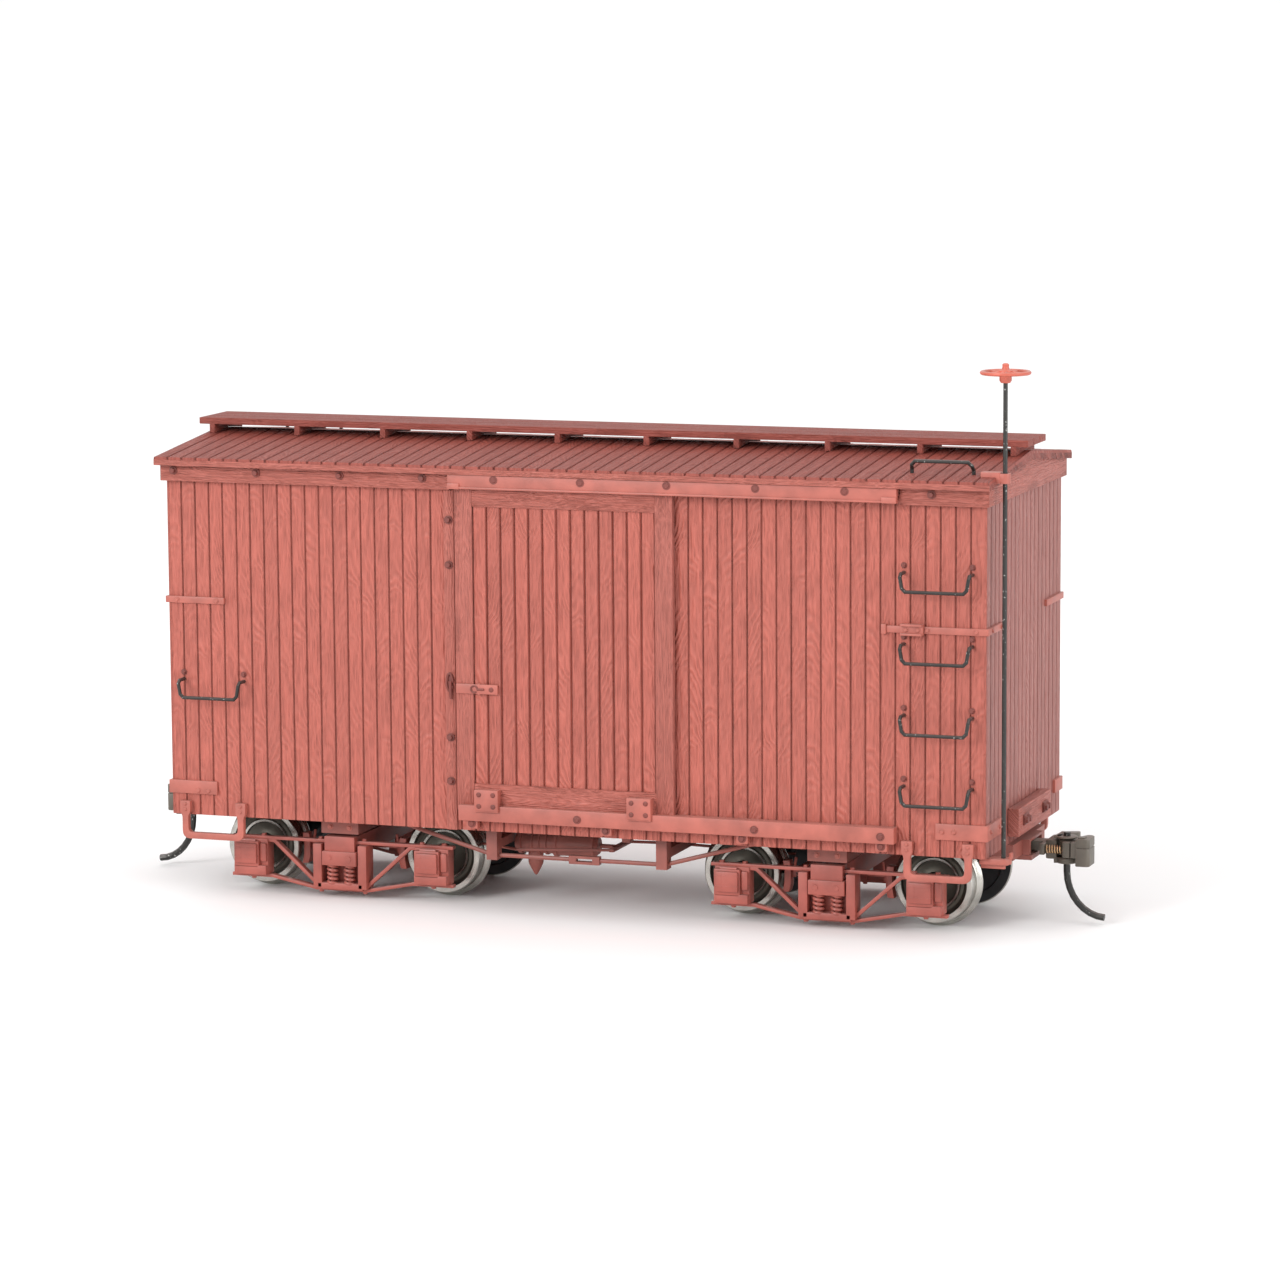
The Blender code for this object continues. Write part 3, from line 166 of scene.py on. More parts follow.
def new_finish(name):
    """A material with its tree and its Principled shader."""
    made = bpy.data.materials.new(name)
    made.use_nodes = True
    return made, made.node_tree, made.node_tree.nodes["Principled BSDF"]


def two_tones(tree, amount, place, low, low_at, high, high_at):
    """A colour between two, with the places of the two stops."""
    ramp = add_node(tree, "ShaderNodeValToRGB", place, inputs={"Fac": amount})
    for stop, colour, at in zip(ramp.color_ramp.elements, (low, high), (low_at, high_at)):
        stop.color = (*colour, 1)
        stop.position = at
    return ramp.outputs[0]


def shade(colour, part):
    """A colour made darker or lighter, no brighter than white."""
    return tuple(min(1, value * part) for value in colour)


def bumped(tree, shader, height, strength, depth, place=(-350, -250)):
    """Gives a finish its bump; the depth is in mm."""
    bump = add_node(tree, "ShaderNodeBump", place, inputs={
        "Height": height, "Strength": strength, "Distance": depth * MM}).outputs[0]
    tree.links.new(bump, shader.inputs["Normal"])


# %% Wood grain as a group of nodes
def wood_grain_group():
    """Height of the moulded grain, 0 to 1, from the grain and board attributes."""
    tree = bpy.data.node_groups.new("moulded wood grain", "ShaderNodeTree")
    tree.interface.new_socket("Height", in_out="OUTPUT", socket_type="NodeSocketFloat")
    tree.interface.new_socket("Board", in_out="OUTPUT", socket_type="NodeSocketFloat")
    grain = add_node(tree, "ShaderNodeAttribute", attribute_name="grain").outputs["Vector"]
    board = add_node(tree, "ShaderNodeAttribute", attribute_name="board").outputs["Fac"]
    parts = add_node(tree, "ShaderNodeSeparateXYZ", inputs={"Vector": grain}).outputs
    across, along = parts["X"], parts["Z"]
    shift = times(tree, board, 61.0)
    slow = add_node(tree, "ShaderNodeCombineXYZ", inputs={
        "X": times(tree, across, 0.6), "Y": shift, "Z": times(tree, along, 0.16)}).outputs[0]
    drift = add_node(tree, "ShaderNodeTexNoise",
                     inputs={"Vector": slow, "Scale": 1.0, "Detail": 2.0}).outputs[0]
    fast = add_node(tree, "ShaderNodeCombineXYZ", inputs={
        "X": times(tree, across, 7.0), "Y": shift, "Z": times(tree, along, 0.3)}).outputs[0]
    fibre = add_node(tree, "ShaderNodeTexNoise", inputs={
        "Vector": fast, "Scale": 1.0, "Detail": 2.0, "Roughness": 0.5, "Distortion": 0.3}).outputs[0]
    fibre = add_node(tree, "ShaderNodeMapRange", inputs={
        "Value": fibre, "From Min": 0.25, "From Max": 0.75}).outputs[0]
    heart = plus(tree, across, times(tree, minus(tree, board, 0.5), 1.5))
    bow = times(tree, maths(tree, "POWER", maths(tree, "ABSOLUTE", heart), 1.6), 1.9)
    rise = plus(tree, times(tree, along, 0.35), times(tree, drift, 3.0))
    rings = maths(tree, "SINE", times(tree, plus(tree, rise, bow), 11.0))
    ring_height = maths(tree, "MULTIPLY_ADD", rings, 0.5)
    ring_height.node.inputs[2].default_value = 0.5
    share = add_node(tree, "ShaderNodeMapRange", inputs={
        "Value": drift, "From Min": 0.44, "From Max": 0.66, "To Min": 0.0, "To Max": 0.5}).outputs[0]
    mixed = add_node(tree, "ShaderNodeMix", inputs={"Factor": share, "A": fibre, "B": ring_height})
    out = add_node(tree, "NodeGroupOutput", (300, 0))
    tree.links.new(mixed.outputs[0], out.inputs["Height"])
    tree.links.new(board, out.inputs["Board"])
    return tree


GRAIN = wood_grain_group()


def wooden(name, colour, relief, roughness=0.55):
    """Painted wood grain: painted shade darkens the low places, a little different on each board."""
    made, tree, shader = new_finish(name)
    grain = add_node(tree, "ShaderNodeGroup", (-900, 0), node_tree=GRAIN).outputs
    # Painted shade: the low places of the grain take a darker copy of the colour.
    paint = two_tones(tree, grain["Height"], (-650, 200), shade(colour, 0.7), 0.0, colour, 0.8)
    place = add_node(tree, "ShaderNodeTexCoord", (-1100, 300)).outputs["Object"]
    cloud = add_node(tree, "ShaderNodeTexNoise", (-900, 300), inputs={
        "Vector": place, "Scale": 90.0, "Detail": 3.0}).outputs[0]
    tone = plus(tree, times(tree, grain["Board"], 0.12), times(tree, cloud, 0.1))
    value = plus(tree, tone, 0.89)
    tint = add_node(tree, "ShaderNodeHueSaturation", (-350, 200), inputs={
        "Color": paint, "Value": value}).outputs[0]
    tree.links.new(tint, shader.inputs["Base Color"])
    rough = add_node(tree, "ShaderNodeMapRange", (-650, -100), inputs={
        "Value": grain["Height"], "To Min": roughness + 0.15, "To Max": roughness - 0.05}).outputs[0]
    tree.links.new(rough, shader.inputs["Roughness"])
    bumped(tree, shader, grain["Height"], 1.0, relief)
    return made


# %% [markdown]
# The castings, bolts and wires aren't wood. Their plastic or paint has a fine pebble, and a painted
# sheen makes their upper faces a little paler; the black wire is chipped to bright metal in specks, and
# the wheels show the rings left by the lathe.


# %% Plain and metal finishes
PATCHES, PEBBLES = 350.0, 3150.0
# Pale colour of the painted sheen on faces that point upward.
UPWARD_SHEEN = (0.8, 0.6, 0.55, 1)


def cast(name, colour, roughness, metallic=0.0, pebble=0.02, speck=None):
    """A moulded or painted finish: patchy colour, fine pebble, painted sheen on top, perhaps bright specks.
    """
    made, tree, shader = new_finish(name)
    place = add_node(tree, "ShaderNodeTexCoord", (-1100, 0)).outputs["Object"]
    patch = add_node(tree, "ShaderNodeTexNoise", (-900, 200), inputs={
        "Vector": place, "Scale": PATCHES, "Detail": 3.0}).outputs[0]
    fine = add_node(tree, "ShaderNodeTexNoise", (-900, -200), inputs={
        "Vector": place, "Scale": PEBBLES, "Detail": 2.0}).outputs[0]
    paint = two_tones(tree, patch, (-650, 200), shade(colour, 0.8), 0.3, shade(colour, 1.12), 0.7)
    # Painted sheen: the more a face points up, the more its colour is mixed towards a pale colour.
    facing = add_node(tree, "ShaderNodeNewGeometry", (-1100, 500)).outputs["Normal"]
    upward = add_node(tree, "ShaderNodeSeparateXYZ", (-900, 500), inputs={"Vector": facing}).outputs["Z"]
    upward_sheen_share = add_node(tree, "ShaderNodeMapRange", (-650, 500), inputs={
        "Value": upward, "From Min": 0.3, "To Max": 0.12}).outputs[0]
    sheened = add_node(tree, "ShaderNodeMix", (-400, 300), data_type="RGBA", inputs={0: upward_sheen_share})
    sheened.inputs[7].default_value = UPWARD_SHEEN
    tree.links.new(paint, sheened.inputs[6])
    result = sheened.outputs[2]
    if speck:
        chip = add_node(tree, "ShaderNodeMapRange", (-650, 700), inputs={
            "Value": fine, "From Min": 0.66, "From Max": 0.7}).outputs[0]
        chipped = add_node(tree, "ShaderNodeMix", (-200, 400), data_type="RGBA", inputs={0: chip})
        chipped.inputs[7].default_value = (*speck, 1)
        tree.links.new(result, chipped.inputs[6])
        result = chipped.outputs[2]
    tree.links.new(result, shader.inputs["Base Color"])
    rough = add_node(tree, "ShaderNodeMapRange", (-650, -50), inputs={
        "Value": patch, "To Min": roughness - 0.12, "To Max": roughness + 0.12}).outputs[0]
    tree.links.new(rough, shader.inputs["Roughness"])
    shader.inputs["Metallic"].default_value = metallic
    bumped(tree, shader, fine, 0.6, pebble)
    return made


def lathe_metal(name, colour, roughness, metallic, rings):
    """Turned metal: fine rings that follow the profile, kept in the grain attribute."""
    made, tree, shader = new_finish(name)
    grain = add_node(tree, "ShaderNodeAttribute", (-1100, 0), attribute_name="grain").outputs["Vector"]
    across = add_node(tree, "ShaderNodeSeparateXYZ", (-900, 0), inputs={"Vector": grain}).outputs["X"]
    line = add_node(tree, "ShaderNodeCombineXYZ", (-700, 0),
                    inputs={"X": times(tree, across, 14.0)}).outputs[0]
    ring = add_node(tree, "ShaderNodeTexNoise", (-500, 0),
                    inputs={"Vector": line, "Scale": 1.0, "Detail": 3.0}).outputs[0]
    place = add_node(tree, "ShaderNodeTexCoord", (-700, 300)).outputs["Object"]
    stain = add_node(tree, "ShaderNodeTexNoise", (-500, 300), inputs={
        "Vector": place, "Scale": 500.0, "Detail": 4.0}).outputs[0]
    metal = two_tones(tree, stain, (-300, 300), shade(colour, 0.7), 0.3, colour, 0.65)
    tree.links.new(metal, shader.inputs["Base Color"])
    rough = add_node(tree, "ShaderNodeMapRange", (-300, 0), inputs={
        "Value": ring, "To Min": roughness - 0.1, "To Max": roughness + 0.15}).outputs[0]
    tree.links.new(rough, shader.inputs["Roughness"])
    shader.inputs["Metallic"].default_value = metallic
    bumped(tree, shader, ring, 0.5, rings, (-100, -250))
    return made


OXIDE = (0.40, 0.097, 0.069)
SIDING = wooden("siding boards", OXIDE, 0.22)
# The end boards carry the same oxide paint as the sides; their darker, greyer colour is painted shade and
# painted reflection on the end walls.
END_SIDING_SHADED = wooden("end boards with painted shade", (0.30, 0.092, 0.074), 0.12, 0.45)
ROOFING = wooden("roof boards", (0.285, 0.060, 0.042), 0.16, 0.55)
TRIM = wooden("trim boards", (0.40, 0.107, 0.079), 0.2, 0.5)
FITTING = cast("moulded fittings", (0.37, 0.099, 0.073), 0.45)
TRUCK_RED = cast("truck castings", (0.33, 0.078, 0.058), 0.42)
UNDER_RED = cast("underfloor castings", (0.25, 0.07, 0.053), 0.5)
WHEEL_RED = cast("brake wheel paint", (0.52, 0.11, 0.07), 0.4)
# Bolt, nut and rivet heads on the body take a darker red than the fittings: painted shade, the contact shadow
# round each head.
SHADED_BOLT_RED = cast("bolt heads with painted shade", (0.16, 0.034, 0.025), 0.6)
BLACK_WIRE = cast("blackened wire", (0.035, 0.034, 0.032), 0.32, 0.5, 0.015, (0.35, 0.35, 0.33))
COUPLER = cast("coupler plastic", (0.105, 0.089, 0.070), 0.45, 0.1, 0.012)
BRONZE = cast("spring bronze", (0.62, 0.40, 0.22), 0.3, 1.0, 0.005)
STEEL = cast("plain steel", (0.5, 0.5, 0.48), 0.35, 1.0, 0.01)
TREAD = lathe_metal("wheel tread", (0.47, 0.455, 0.42), 0.24, 1.0, 0.03)
WHEEL_FACE = lathe_metal("wheel face", (0.085, 0.077, 0.062), 0.35, 0.7, 0.03)
WHEEL_BACK = lathe_metal("wheel back", (0.03, 0.03, 0.032), 0.4, 0.2, 0.015)
print("finishes:", len(bpy.data.materials))

# %% [markdown]
# ## A bench of simple tools
# Every piece is a gathering of closed forms: rounded blocks, cut plates, bent rods and turned
# shapes. `Gathering` collects them in one mesh, and writes the grain direction and the board
# number of each form as it goes in.


# %% Gather closed forms into a piece
def along_grain(co, way):
    """(across, depth, along) of a place in a form for grain that runs along X, Y or Z."""
    return {"X": (co.y + co.z, 0, co.x), "Y": (co.x + co.z, 0, co.y), "Z": (co.x + co.y, 0, co.z)}[way]


class Gathering:
    """Closed forms, in mm, that become one piece."""

    def __init__(self):
        self.bm = bmesh.new()
        self.bm.verts.layers.float_vector.new("grain")
        self.bm.verts.layers.float.new("board")
        self.count = 0

    def take(self, form, look=0, way="X", place=None, smooth=False, own_grain=False):
        """Adds a bmesh or mesh, with its finish number and grain direction."""
        self.count += 1
        if isinstance(form, bmesh.types.BMesh):
            mesh = bpy.data.meshes.new("form")
            if not own_grain:
                vectors, numbers = form.verts.layers.float_vector, form.verts.layers.float
                grain = vectors.get("grain") or vectors.new("grain")
                board = numbers.get("board") or numbers.new("board")
                sides = [[vert.co[axis] for vert in form.verts] for axis in range(3)]
                centre = Vector([(min(values) + max(values)) / 2 for values in sides])
                for vert in form.verts:
                    vert[grain] = along_grain(vert.co - centre, way)
                    vert[board] = (self.count * 0.618) % 1
            form.to_mesh(mesh)
            form.free()
        else:
            mesh = form.copy()
        if place is not None:
            mesh.transform(place)
        start = len(self.bm.faces)
        self.bm.from_mesh(mesh)
        bpy.data.meshes.remove(mesh)
        self.bm.faces.ensure_lookup_table()
        for face in self.bm.faces[start:]:
            if look is not None:
                face.material_index = look
            if smooth:
                face.smooth = True
        return self

    def block(self, x, y, z, bevel=0.1, look=0, way="X"):
        """A block with rounded edges from three spans."""
        form = bmesh.new()
        bmesh.ops.create_cube(form, size=1.0)
        spans = [sorted(pair) for pair in (x, y, z)]
        for vert in form.verts:
            vert.co = [pair[part > 0] for pair, part in zip(spans, vert.co)]
        if bevel:
            bmesh.ops.bevel(form, geom=form.edges[:], offset=bevel, segments=2, profile=0.6,
                            affect="EDGES", clamp_overlap=True)
        return self.take(form, look, way)

    def plate(self, outline, axis, low, high, bevel=0.08, look=0, way="X"):
        """An outline in the plane across an axis, made a plate from low to high."""
        form = bmesh.new()
        corner = {"X": lambda u, v: (low, u, v), "Y": lambda u, v: (u, low, v), "Z": lambda u,
                  v: (u, v, low)}[axis]
        face = form.faces.new([form.verts.new(corner(u, v)) for u, v in outline])
        grown = bmesh.ops.extrude_face_region(form, geom=[face])["geom"]
        step = Vector([high - low if name == axis else 0 for name in "XYZ"])
        bmesh.ops.translate(form, vec=step, verts=[g for g in grown if isinstance(g, bmesh.types.BMVert)])
        bmesh.ops.recalc_face_normals(form, faces=form.faces[:])
        if bevel:
            bmesh.ops.bevel(form, geom=form.edges[:], offset=bevel, segments=2, profile=0.6,
                            affect="EDGES", clamp_overlap=True)
        return self.take(form, look, way)

    def rod(self, points, radius, sides=10, look=0):
        """A round rod swept along points; radius may differ at each point."""
        points = [Vector(p) for p in points]
        radii = radius if isinstance(radius, (list, tuple)) else [radius] * len(points)
        form = bmesh.new()
        side, rings = None, []
        for i, point in enumerate(points):
            ahead = points[min(i + 1, len(points) - 1)] - points[max(i - 1, 0)]
            ahead.normalize()
            side = ahead.orthogonal() if side is None else side - ahead * side.dot(ahead)
            side.normalize()
            up = ahead.cross(side)
            ring = []
            for k in range(sides):
                turn = 2 * math.pi * k / sides
                ring.append(form.verts.new(point
                                           + (side * math.cos(turn) + up * math.sin(turn)) * radii[i]))
            rings.append(ring)
        for a, b in zip(rings, rings[1:]):
            for k in range(sides):
                form.faces.new((a[k], a[(k + 1) % sides], b[(k + 1) % sides], b[k]))
        form.faces.new(rings[0][::-1])
        form.faces.new(rings[-1])
        bmesh.ops.recalc_face_normals(form, faces=form.faces[:])
        for face in form.faces:
            face.smooth = len(face.verts) == 4
        return self.take(form, look, "X")

    def turned(self, profile, place, steps=32, look=0, looks=None):
        """A shape turned on the lathe about Z: (radius, height) points from axis to axis."""
        form = bmesh.new()
        grain = form.verts.layers.float_vector.new("grain")
        form.verts.layers.float.new("board")
        rings, run = [], 0.0
        for i, (radius, height) in enumerate(profile):
            if i:
                run += math.dist(profile[i - 1], profile[i])
            count = 1 if radius < 1e-6 else steps
            ring = []
            for k in range(count):
                turn = 2 * math.pi * k / steps
                vert = form.verts.new((radius * math.cos(turn), radius * math.sin(turn), height))
                vert[grain] = (run, 0, turn)
                ring.append(vert)
            rings.append(ring)
        for i, (a, b) in enumerate(zip(rings, rings[1:])):
            for k in range(steps):
                nxt = (k + 1) % steps
                corners = [a[k % len(a)], a[nxt % len(a)], b[nxt % len(b)], b[k % len(b)]]
                corners = list(dict.fromkeys(corners))
                if len(corners) > 2:
                    face = form.faces.new(corners)
                    face.material_index = looks[i] if looks else look
                    face.smooth = True
        bmesh.ops.recalc_face_normals(form, faces=form.faces[:])
        return self.take(form, None, place=place, own_grain=True)

    def half_turned(self):
        """The same forms on the other side and end of the car."""
        mesh = bpy.data.meshes.new("half")
        self.bm.to_mesh(mesh)
        other = Gathering()
        other.take(mesh, None, place=HALF_TURN)
        bpy.data.meshes.remove(mesh)
        return other

    def joined(self, other):
        """These forms and another gathering's."""
        mesh = bpy.data.meshes.new("other")
        other.bm.to_mesh(mesh)
        self.take(mesh, None)
        bpy.data.meshes.remove(mesh)
        return self

    def piece(self, name, finishes, body, stands_for=(), slot=None, sharp=35):
        """The finished piece, in metres, riding on its body."""
        mesh = bpy.data.meshes.new(name)
        self.bm.to_mesh(mesh)
        self.bm.free()
        mesh.transform(Matrix.Scale(MM, 4))
        for finish in finishes:
            mesh.materials.append(finish)
        mesh.set_sharp_from_angle(angle=math.radians(sharp))
        made = bpy.data.objects.new(name, mesh)
        bpy.context.scene.collection.objects.link(made)
        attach(made, body)
        if stands_for:
            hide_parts(*stands_for)
        print(f"{name}: {len(mesh.polygons)} faces")
        return made


def bent(points, radius, steps=5):
    """A line of points with its inner corners rounded."""
    points = [Vector(p) for p in points]
    made = [points[0]]
    for before, corner, after in zip(points, points[1:], points[2:]):
        reach = min(radius, (corner - before).length * 0.48, (after - corner).length * 0.48)
        start = corner + (before - corner).normalized() * reach
        end = corner + (after - corner).normalized() * reach
        for k in range(steps + 1):
            t = k / steps
            made.append(start * (1 - t) ** 2 + corner * 2 * t * (1 - t) + end * t ** 2)
    return made + [points[-1]]


def arc(radius, start, stop, count):
    """Points (u, v) on a circle about the origin, from one angle towards another."""
    return [(radius * math.cos(a), radius * math.sin(a))
            for a in [start + (stop - start) * k / count for k in range(count + 1)]]


# %% [markdown]
# ## Repeats as Geometry Nodes
# Boards, bolts and springs repeat along a rule, so each is one tree of nodes with named inputs.
# A tree is run once for each place that needs it: its inputs are set by their identifiers, the
# result is taken as a plain mesh, and the modifier goes away.


# %% Run a tree
def new_tree(name, sockets):
    """A geometry tree with named inputs, its input node and its output node."""
    tree = bpy.data.node_groups.new(name, "GeometryNodeTree")
    tree.interface.new_socket("Geometry", in_out="INPUT", socket_type="NodeSocketGeometry")
    tree.interface.new_socket("Geometry", in_out="OUTPUT", socket_type="NodeSocketGeometry")
    for label, kind in sockets.items():
        tree.interface.new_socket(label, in_out="INPUT", socket_type="NodeSocket" + kind)
    given = tree.nodes.new("NodeGroupInput")
    given.location = (-1600, 0)
    out = tree.nodes.new("NodeGroupOutput")
    out.location = (900, 0)
    return tree, given.outputs, out.inputs["Geometry"]


def painted(tree, given, out, geometry):
    """Ends a tree: its result takes the finish that is given and goes to the output."""
    done = add_node(tree, "GeometryNodeSetMaterial",
                    inputs={"Geometry": geometry.outputs[0], "Material": given["Finish"]})
    tree.links.new(done.outputs[0], out)
    return tree


def run_tree(tree, start=None, **values):
    """The plain mesh that a tree makes with these input values."""
    base = start or bpy.data.meshes.new("start")
    carrier = bpy.data.objects.new("carrier", base)
    bpy.context.scene.collection.objects.link(carrier)
    modifier = carrier.modifiers.new("run", "NODES")
    modifier.node_group = tree
    for item in tree.interface.items_tree:
        if item.in_out == "INPUT" and item.name in values:
            modifier[item.identifier] = values[item.name]
    bpy.context.view_layer.update()
    graph = bpy.context.evaluated_depsgraph_get()
    made = bpy.data.meshes.new_from_object(carrier.evaluated_get(graph))
    carrier.modifiers.remove(modifier)
    bpy.data.objects.remove(carrier)
    made.materials.clear()
    return made


# %% A run of boards
def board_tree():
    """Boards side by side along +X, their faces towards -Y, with uneven V grooves between them."""
    tree, given, out = new_tree("run of boards", {
        "Boards": "Int", "Pitch": "Float", "Length": "Float", "Depth": "Float", "Groove": "Float",
        "Wobble": "Float", "Seed": "Int", "Finish": "Material"})
    start = add_node(tree, "ShaderNodeCombineXYZ", inputs={"X": times(tree, given["Pitch"], 0.5)})
    step = add_node(tree, "ShaderNodeCombineXYZ", inputs={"X": given["Pitch"]})
    row = add_node(tree, "GeometryNodeMeshLine", inputs={
        "Count": given["Boards"], "Start Location": start.outputs[0], "Offset": step.outputs[0]})
    size = add_node(tree, "ShaderNodeCombineXYZ", inputs={
        "X": given["Pitch"], "Y": given["Depth"], "Z": given["Length"]})
    board = add_node(tree, "GeometryNodeMeshCube", inputs={
        "Size": size.outputs[0], "Vertices X": 4, "Vertices Y": 2, "Vertices Z": 22})
    local = add_node(tree, "GeometryNodeInputPosition").outputs[0]
    kept = add_node(tree, "GeometryNodeStoreNamedAttribute", data_type="FLOAT_VECTOR", domain="POINT",
                    inputs={"Geometry": board.outputs[0], "Name": "grain", "Value": local})
    placed = add_node(tree, "GeometryNodeInstanceOnPoints", inputs={
        "Points": row.outputs[0], "Instance": kept.outputs[0]})
    number = add_node(tree, "GeometryNodeInputIndex").outputs[0]
    chance = add_node(tree, "FunctionNodeRandomValue", data_type="FLOAT")
    tree.links.new(number, chance.inputs["ID"])
    tree.links.new(given["Seed"], chance.inputs["Seed"])
    tagged = add_node(tree, "GeometryNodeStoreNamedAttribute", data_type="FLOAT", domain="INSTANCE",
                      inputs={"Geometry": placed.outputs[0], "Name": "board"})
    tree.links.new(chance.outputs[1], tagged.inputs["Value"])
    real = add_node(tree, "GeometryNodeRealizeInstances", inputs={"Geometry": tagged.outputs[0]})
    here = add_node(tree, "GeometryNodeInputNamedAttribute", data_type="FLOAT_VECTOR",
                    inputs={"Name": "grain"})
    mark = add_node(tree, "GeometryNodeInputNamedAttribute", data_type="FLOAT",
                    inputs={"Name": "board"}).outputs[0]
    parts = add_node(tree, "ShaderNodeSeparateXYZ", inputs={"Vector": here.outputs[0]}).outputs
    side = maths(tree, "SIGN", parts["X"])
    edge = maths(tree, "GREATER_THAN", maths(tree, "ABSOLUTE", parts["X"]),
                 times(tree, given["Pitch"], 0.3))
    front = maths(tree, "LESS_THAN", parts["Y"], 0.0)
    reach = add_node(tree, "ShaderNodeCombineXYZ", inputs={
        "X": times(tree, side, 9.0), "Y": times(tree, mark, 77.0),
        "Z": times(tree, parts["Z"], 0.35)})
    uneven = add_node(tree, "ShaderNodeTexNoise", inputs={
        "Vector": reach.outputs[0], "Scale": 1.0, "Detail": 3.0, "Roughness": 0.7}).outputs[0]
    sway = times(tree, minus(tree, uneven, 0.5), given["Wobble"])
    half_groove = plus(tree, times(tree, given["Groove"], 0.5), sway)
    pull = times(tree, times(tree, edge, front), times(tree, side, half_groove))
    shoulder = minus(tree, times(tree, given["Pitch"], 1 / 3), plus(tree, half_groove, 0.1))
    push = times(tree, minus(tree, 1.0, edge), times(tree, side, shoulder))
    shift_x = minus(tree, push, pull)
    sunk = times(tree, front, plus(tree, times(tree, edge, 0.03), times(tree, mark, 0.035)))
    offset = add_node(tree, "ShaderNodeCombineXYZ", inputs={"X": shift_x, "Y": sunk})
    moved = add_node(tree, "GeometryNodeSetPosition",
                     inputs={"Geometry": real.outputs[0], "Offset": offset.outputs[0]})
    return painted(tree, given, out, moved)


BOARDS = board_tree()
BOARD_PITCH, WOBBLE = 2.04, 0.11


def boards(x, low, high, face, depth, finish, seed, pitch=BOARD_PITCH, groove=0.1, turn=None):
    """Upright boards between two x and two heights, their faces at y = face, as a plain mesh."""
    count = max(1, round((x[1] - x[0]) / pitch))
    made = run_tree(BOARDS, Boards=count, Pitch=(x[1] - x[0]) / count, Length=high - low, Depth=depth,
                    Groove=groove, Wobble=WOBBLE, Seed=seed, Finish=finish)
    made.transform(Matrix.Translation((x[0], face + depth / 2, (low + high) / 2)))
    if turn is not None:
        made.transform(turn)
    return made


# %% Bolts and rivets
def fastener_tree():
    """A head on a washer at every point, standing along the point's facing attribute."""
    tree, given, out = new_tree("bolts and rivets", {
        "Radius": "Float", "Height": "Float", "Crown": "Float", "Washer": "Float", "Sides": "Int",
        "Seed": "Int", "Finish": "Material"})
    head = add_node(tree, "GeometryNodeMeshCone", inputs={
        "Vertices": given["Sides"], "Radius Top": times(tree, given["Radius"], given["Crown"]),
        "Radius Bottom": given["Radius"], "Depth": given["Height"]})
    washer = add_node(tree, "GeometryNodeMeshCone", inputs={
        "Vertices": 14, "Radius Top": given["Washer"], "Radius Bottom": given["Washer"],
        "Depth": times(tree, given["Height"], 0.3)})
    both = add_node(tree, "GeometryNodeJoinGeometry")
    tree.links.new(head.outputs[0], both.inputs[0])
    tree.links.new(washer.outputs[0], both.inputs[0])
    facing = add_node(tree, "GeometryNodeInputNamedAttribute", data_type="FLOAT_VECTOR",
                      inputs={"Name": "facing"})
    stand = add_node(tree, "FunctionNodeAlignRotationToVector", axis="Z",
                     inputs={"Vector": facing.outputs[0]})
    angle = add_node(tree, "FunctionNodeRandomValue", data_type="FLOAT")
    angle.inputs[3].default_value = math.tau
    tree.links.new(given["Seed"], angle.inputs["Seed"])
    twist = add_node(tree, "FunctionNodeAxisAngleToRotation",
                     inputs={"Axis": (0, 0, 1), "Angle": angle.outputs[1]})
    turn = add_node(tree, "FunctionNodeRotateRotation", rotation_space="LOCAL", inputs={
        "Rotation": stand.outputs[0], "Rotate By": twist.outputs[0]})
    placed = add_node(tree, "GeometryNodeInstanceOnPoints", inputs={
        "Points": given["Geometry"], "Instance": both.outputs[0], "Rotation": turn.outputs[0]})
    real = add_node(tree, "GeometryNodeRealizeInstances", inputs={"Geometry": placed.outputs[0]})
    return painted(tree, given, out, real)


FASTENERS = fastener_tree()
BOLT = dict(Radius=0.46, Height=0.55, Crown=0.7, Washer=0.56, Sides=6)
RIVET = dict(Radius=0.34, Height=0.22, Crown=0.6, Washer=0.34, Sides=12)
NUT = dict(Radius=0.5, Height=0.5, Crown=0.9, Washer=0.75, Sides=6)
BAR_NUT = dict(NUT, Radius=0.36, Height=0.3, Washer=0.42)


def fasteners(places, kind, finish, seed=3):
    """Bolts, rivets or nuts at (point, facing) places, as a plain mesh."""
    start = bpy.data.meshes.new("places")
    start.from_pydata([point for point, _ in places], [], [])
    facing = start.attributes.new("facing", "FLOAT_VECTOR", "POINT")
    facing.data.foreach_set("vector", [part for _, way in places for part in way])
    return run_tree(FASTENERS, start, Seed=seed, Finish=finish, **kind)


# %% Coil springs
def spring_tree():
    """An upright coil at every point."""
    tree, given, out = new_tree("coil springs", {
        "Radius": "Float", "Height": "Float", "Turns": "Float", "Wire": "Float", "Finish": "Material"})
    coil = add_node(tree, "GeometryNodeCurveSpiral", inputs={
        "Resolution": 14, "Rotations": given["Turns"], "Start Radius": given["Radius"],
        "End Radius": given["Radius"], "Height": given["Height"]})
    gauge = add_node(tree, "GeometryNodeCurvePrimitiveCircle",
                     inputs={"Resolution": 7, "Radius": given["Wire"]})
    wire = add_node(tree, "GeometryNodeCurveToMesh", inputs={
        "Curve": coil.outputs[0], "Profile Curve": gauge.outputs[0], "Fill Caps": True})
    placed = add_node(tree, "GeometryNodeInstanceOnPoints", inputs={
        "Points": given["Geometry"], "Instance": wire.outputs[0]})
    real = add_node(tree, "GeometryNodeRealizeInstances", inputs={"Geometry": placed.outputs[0]})
    return painted(tree, given, out, real)


SPRINGS = spring_tree()

# %% [markdown]
# ## The boarded body
# The body is a box of walls. Each wall here is a plain inner skin with a run of boards on it, so
# that the grooves are real and the ends of the boards show at the skirt. The doorways are left
# open, because the doors slide.

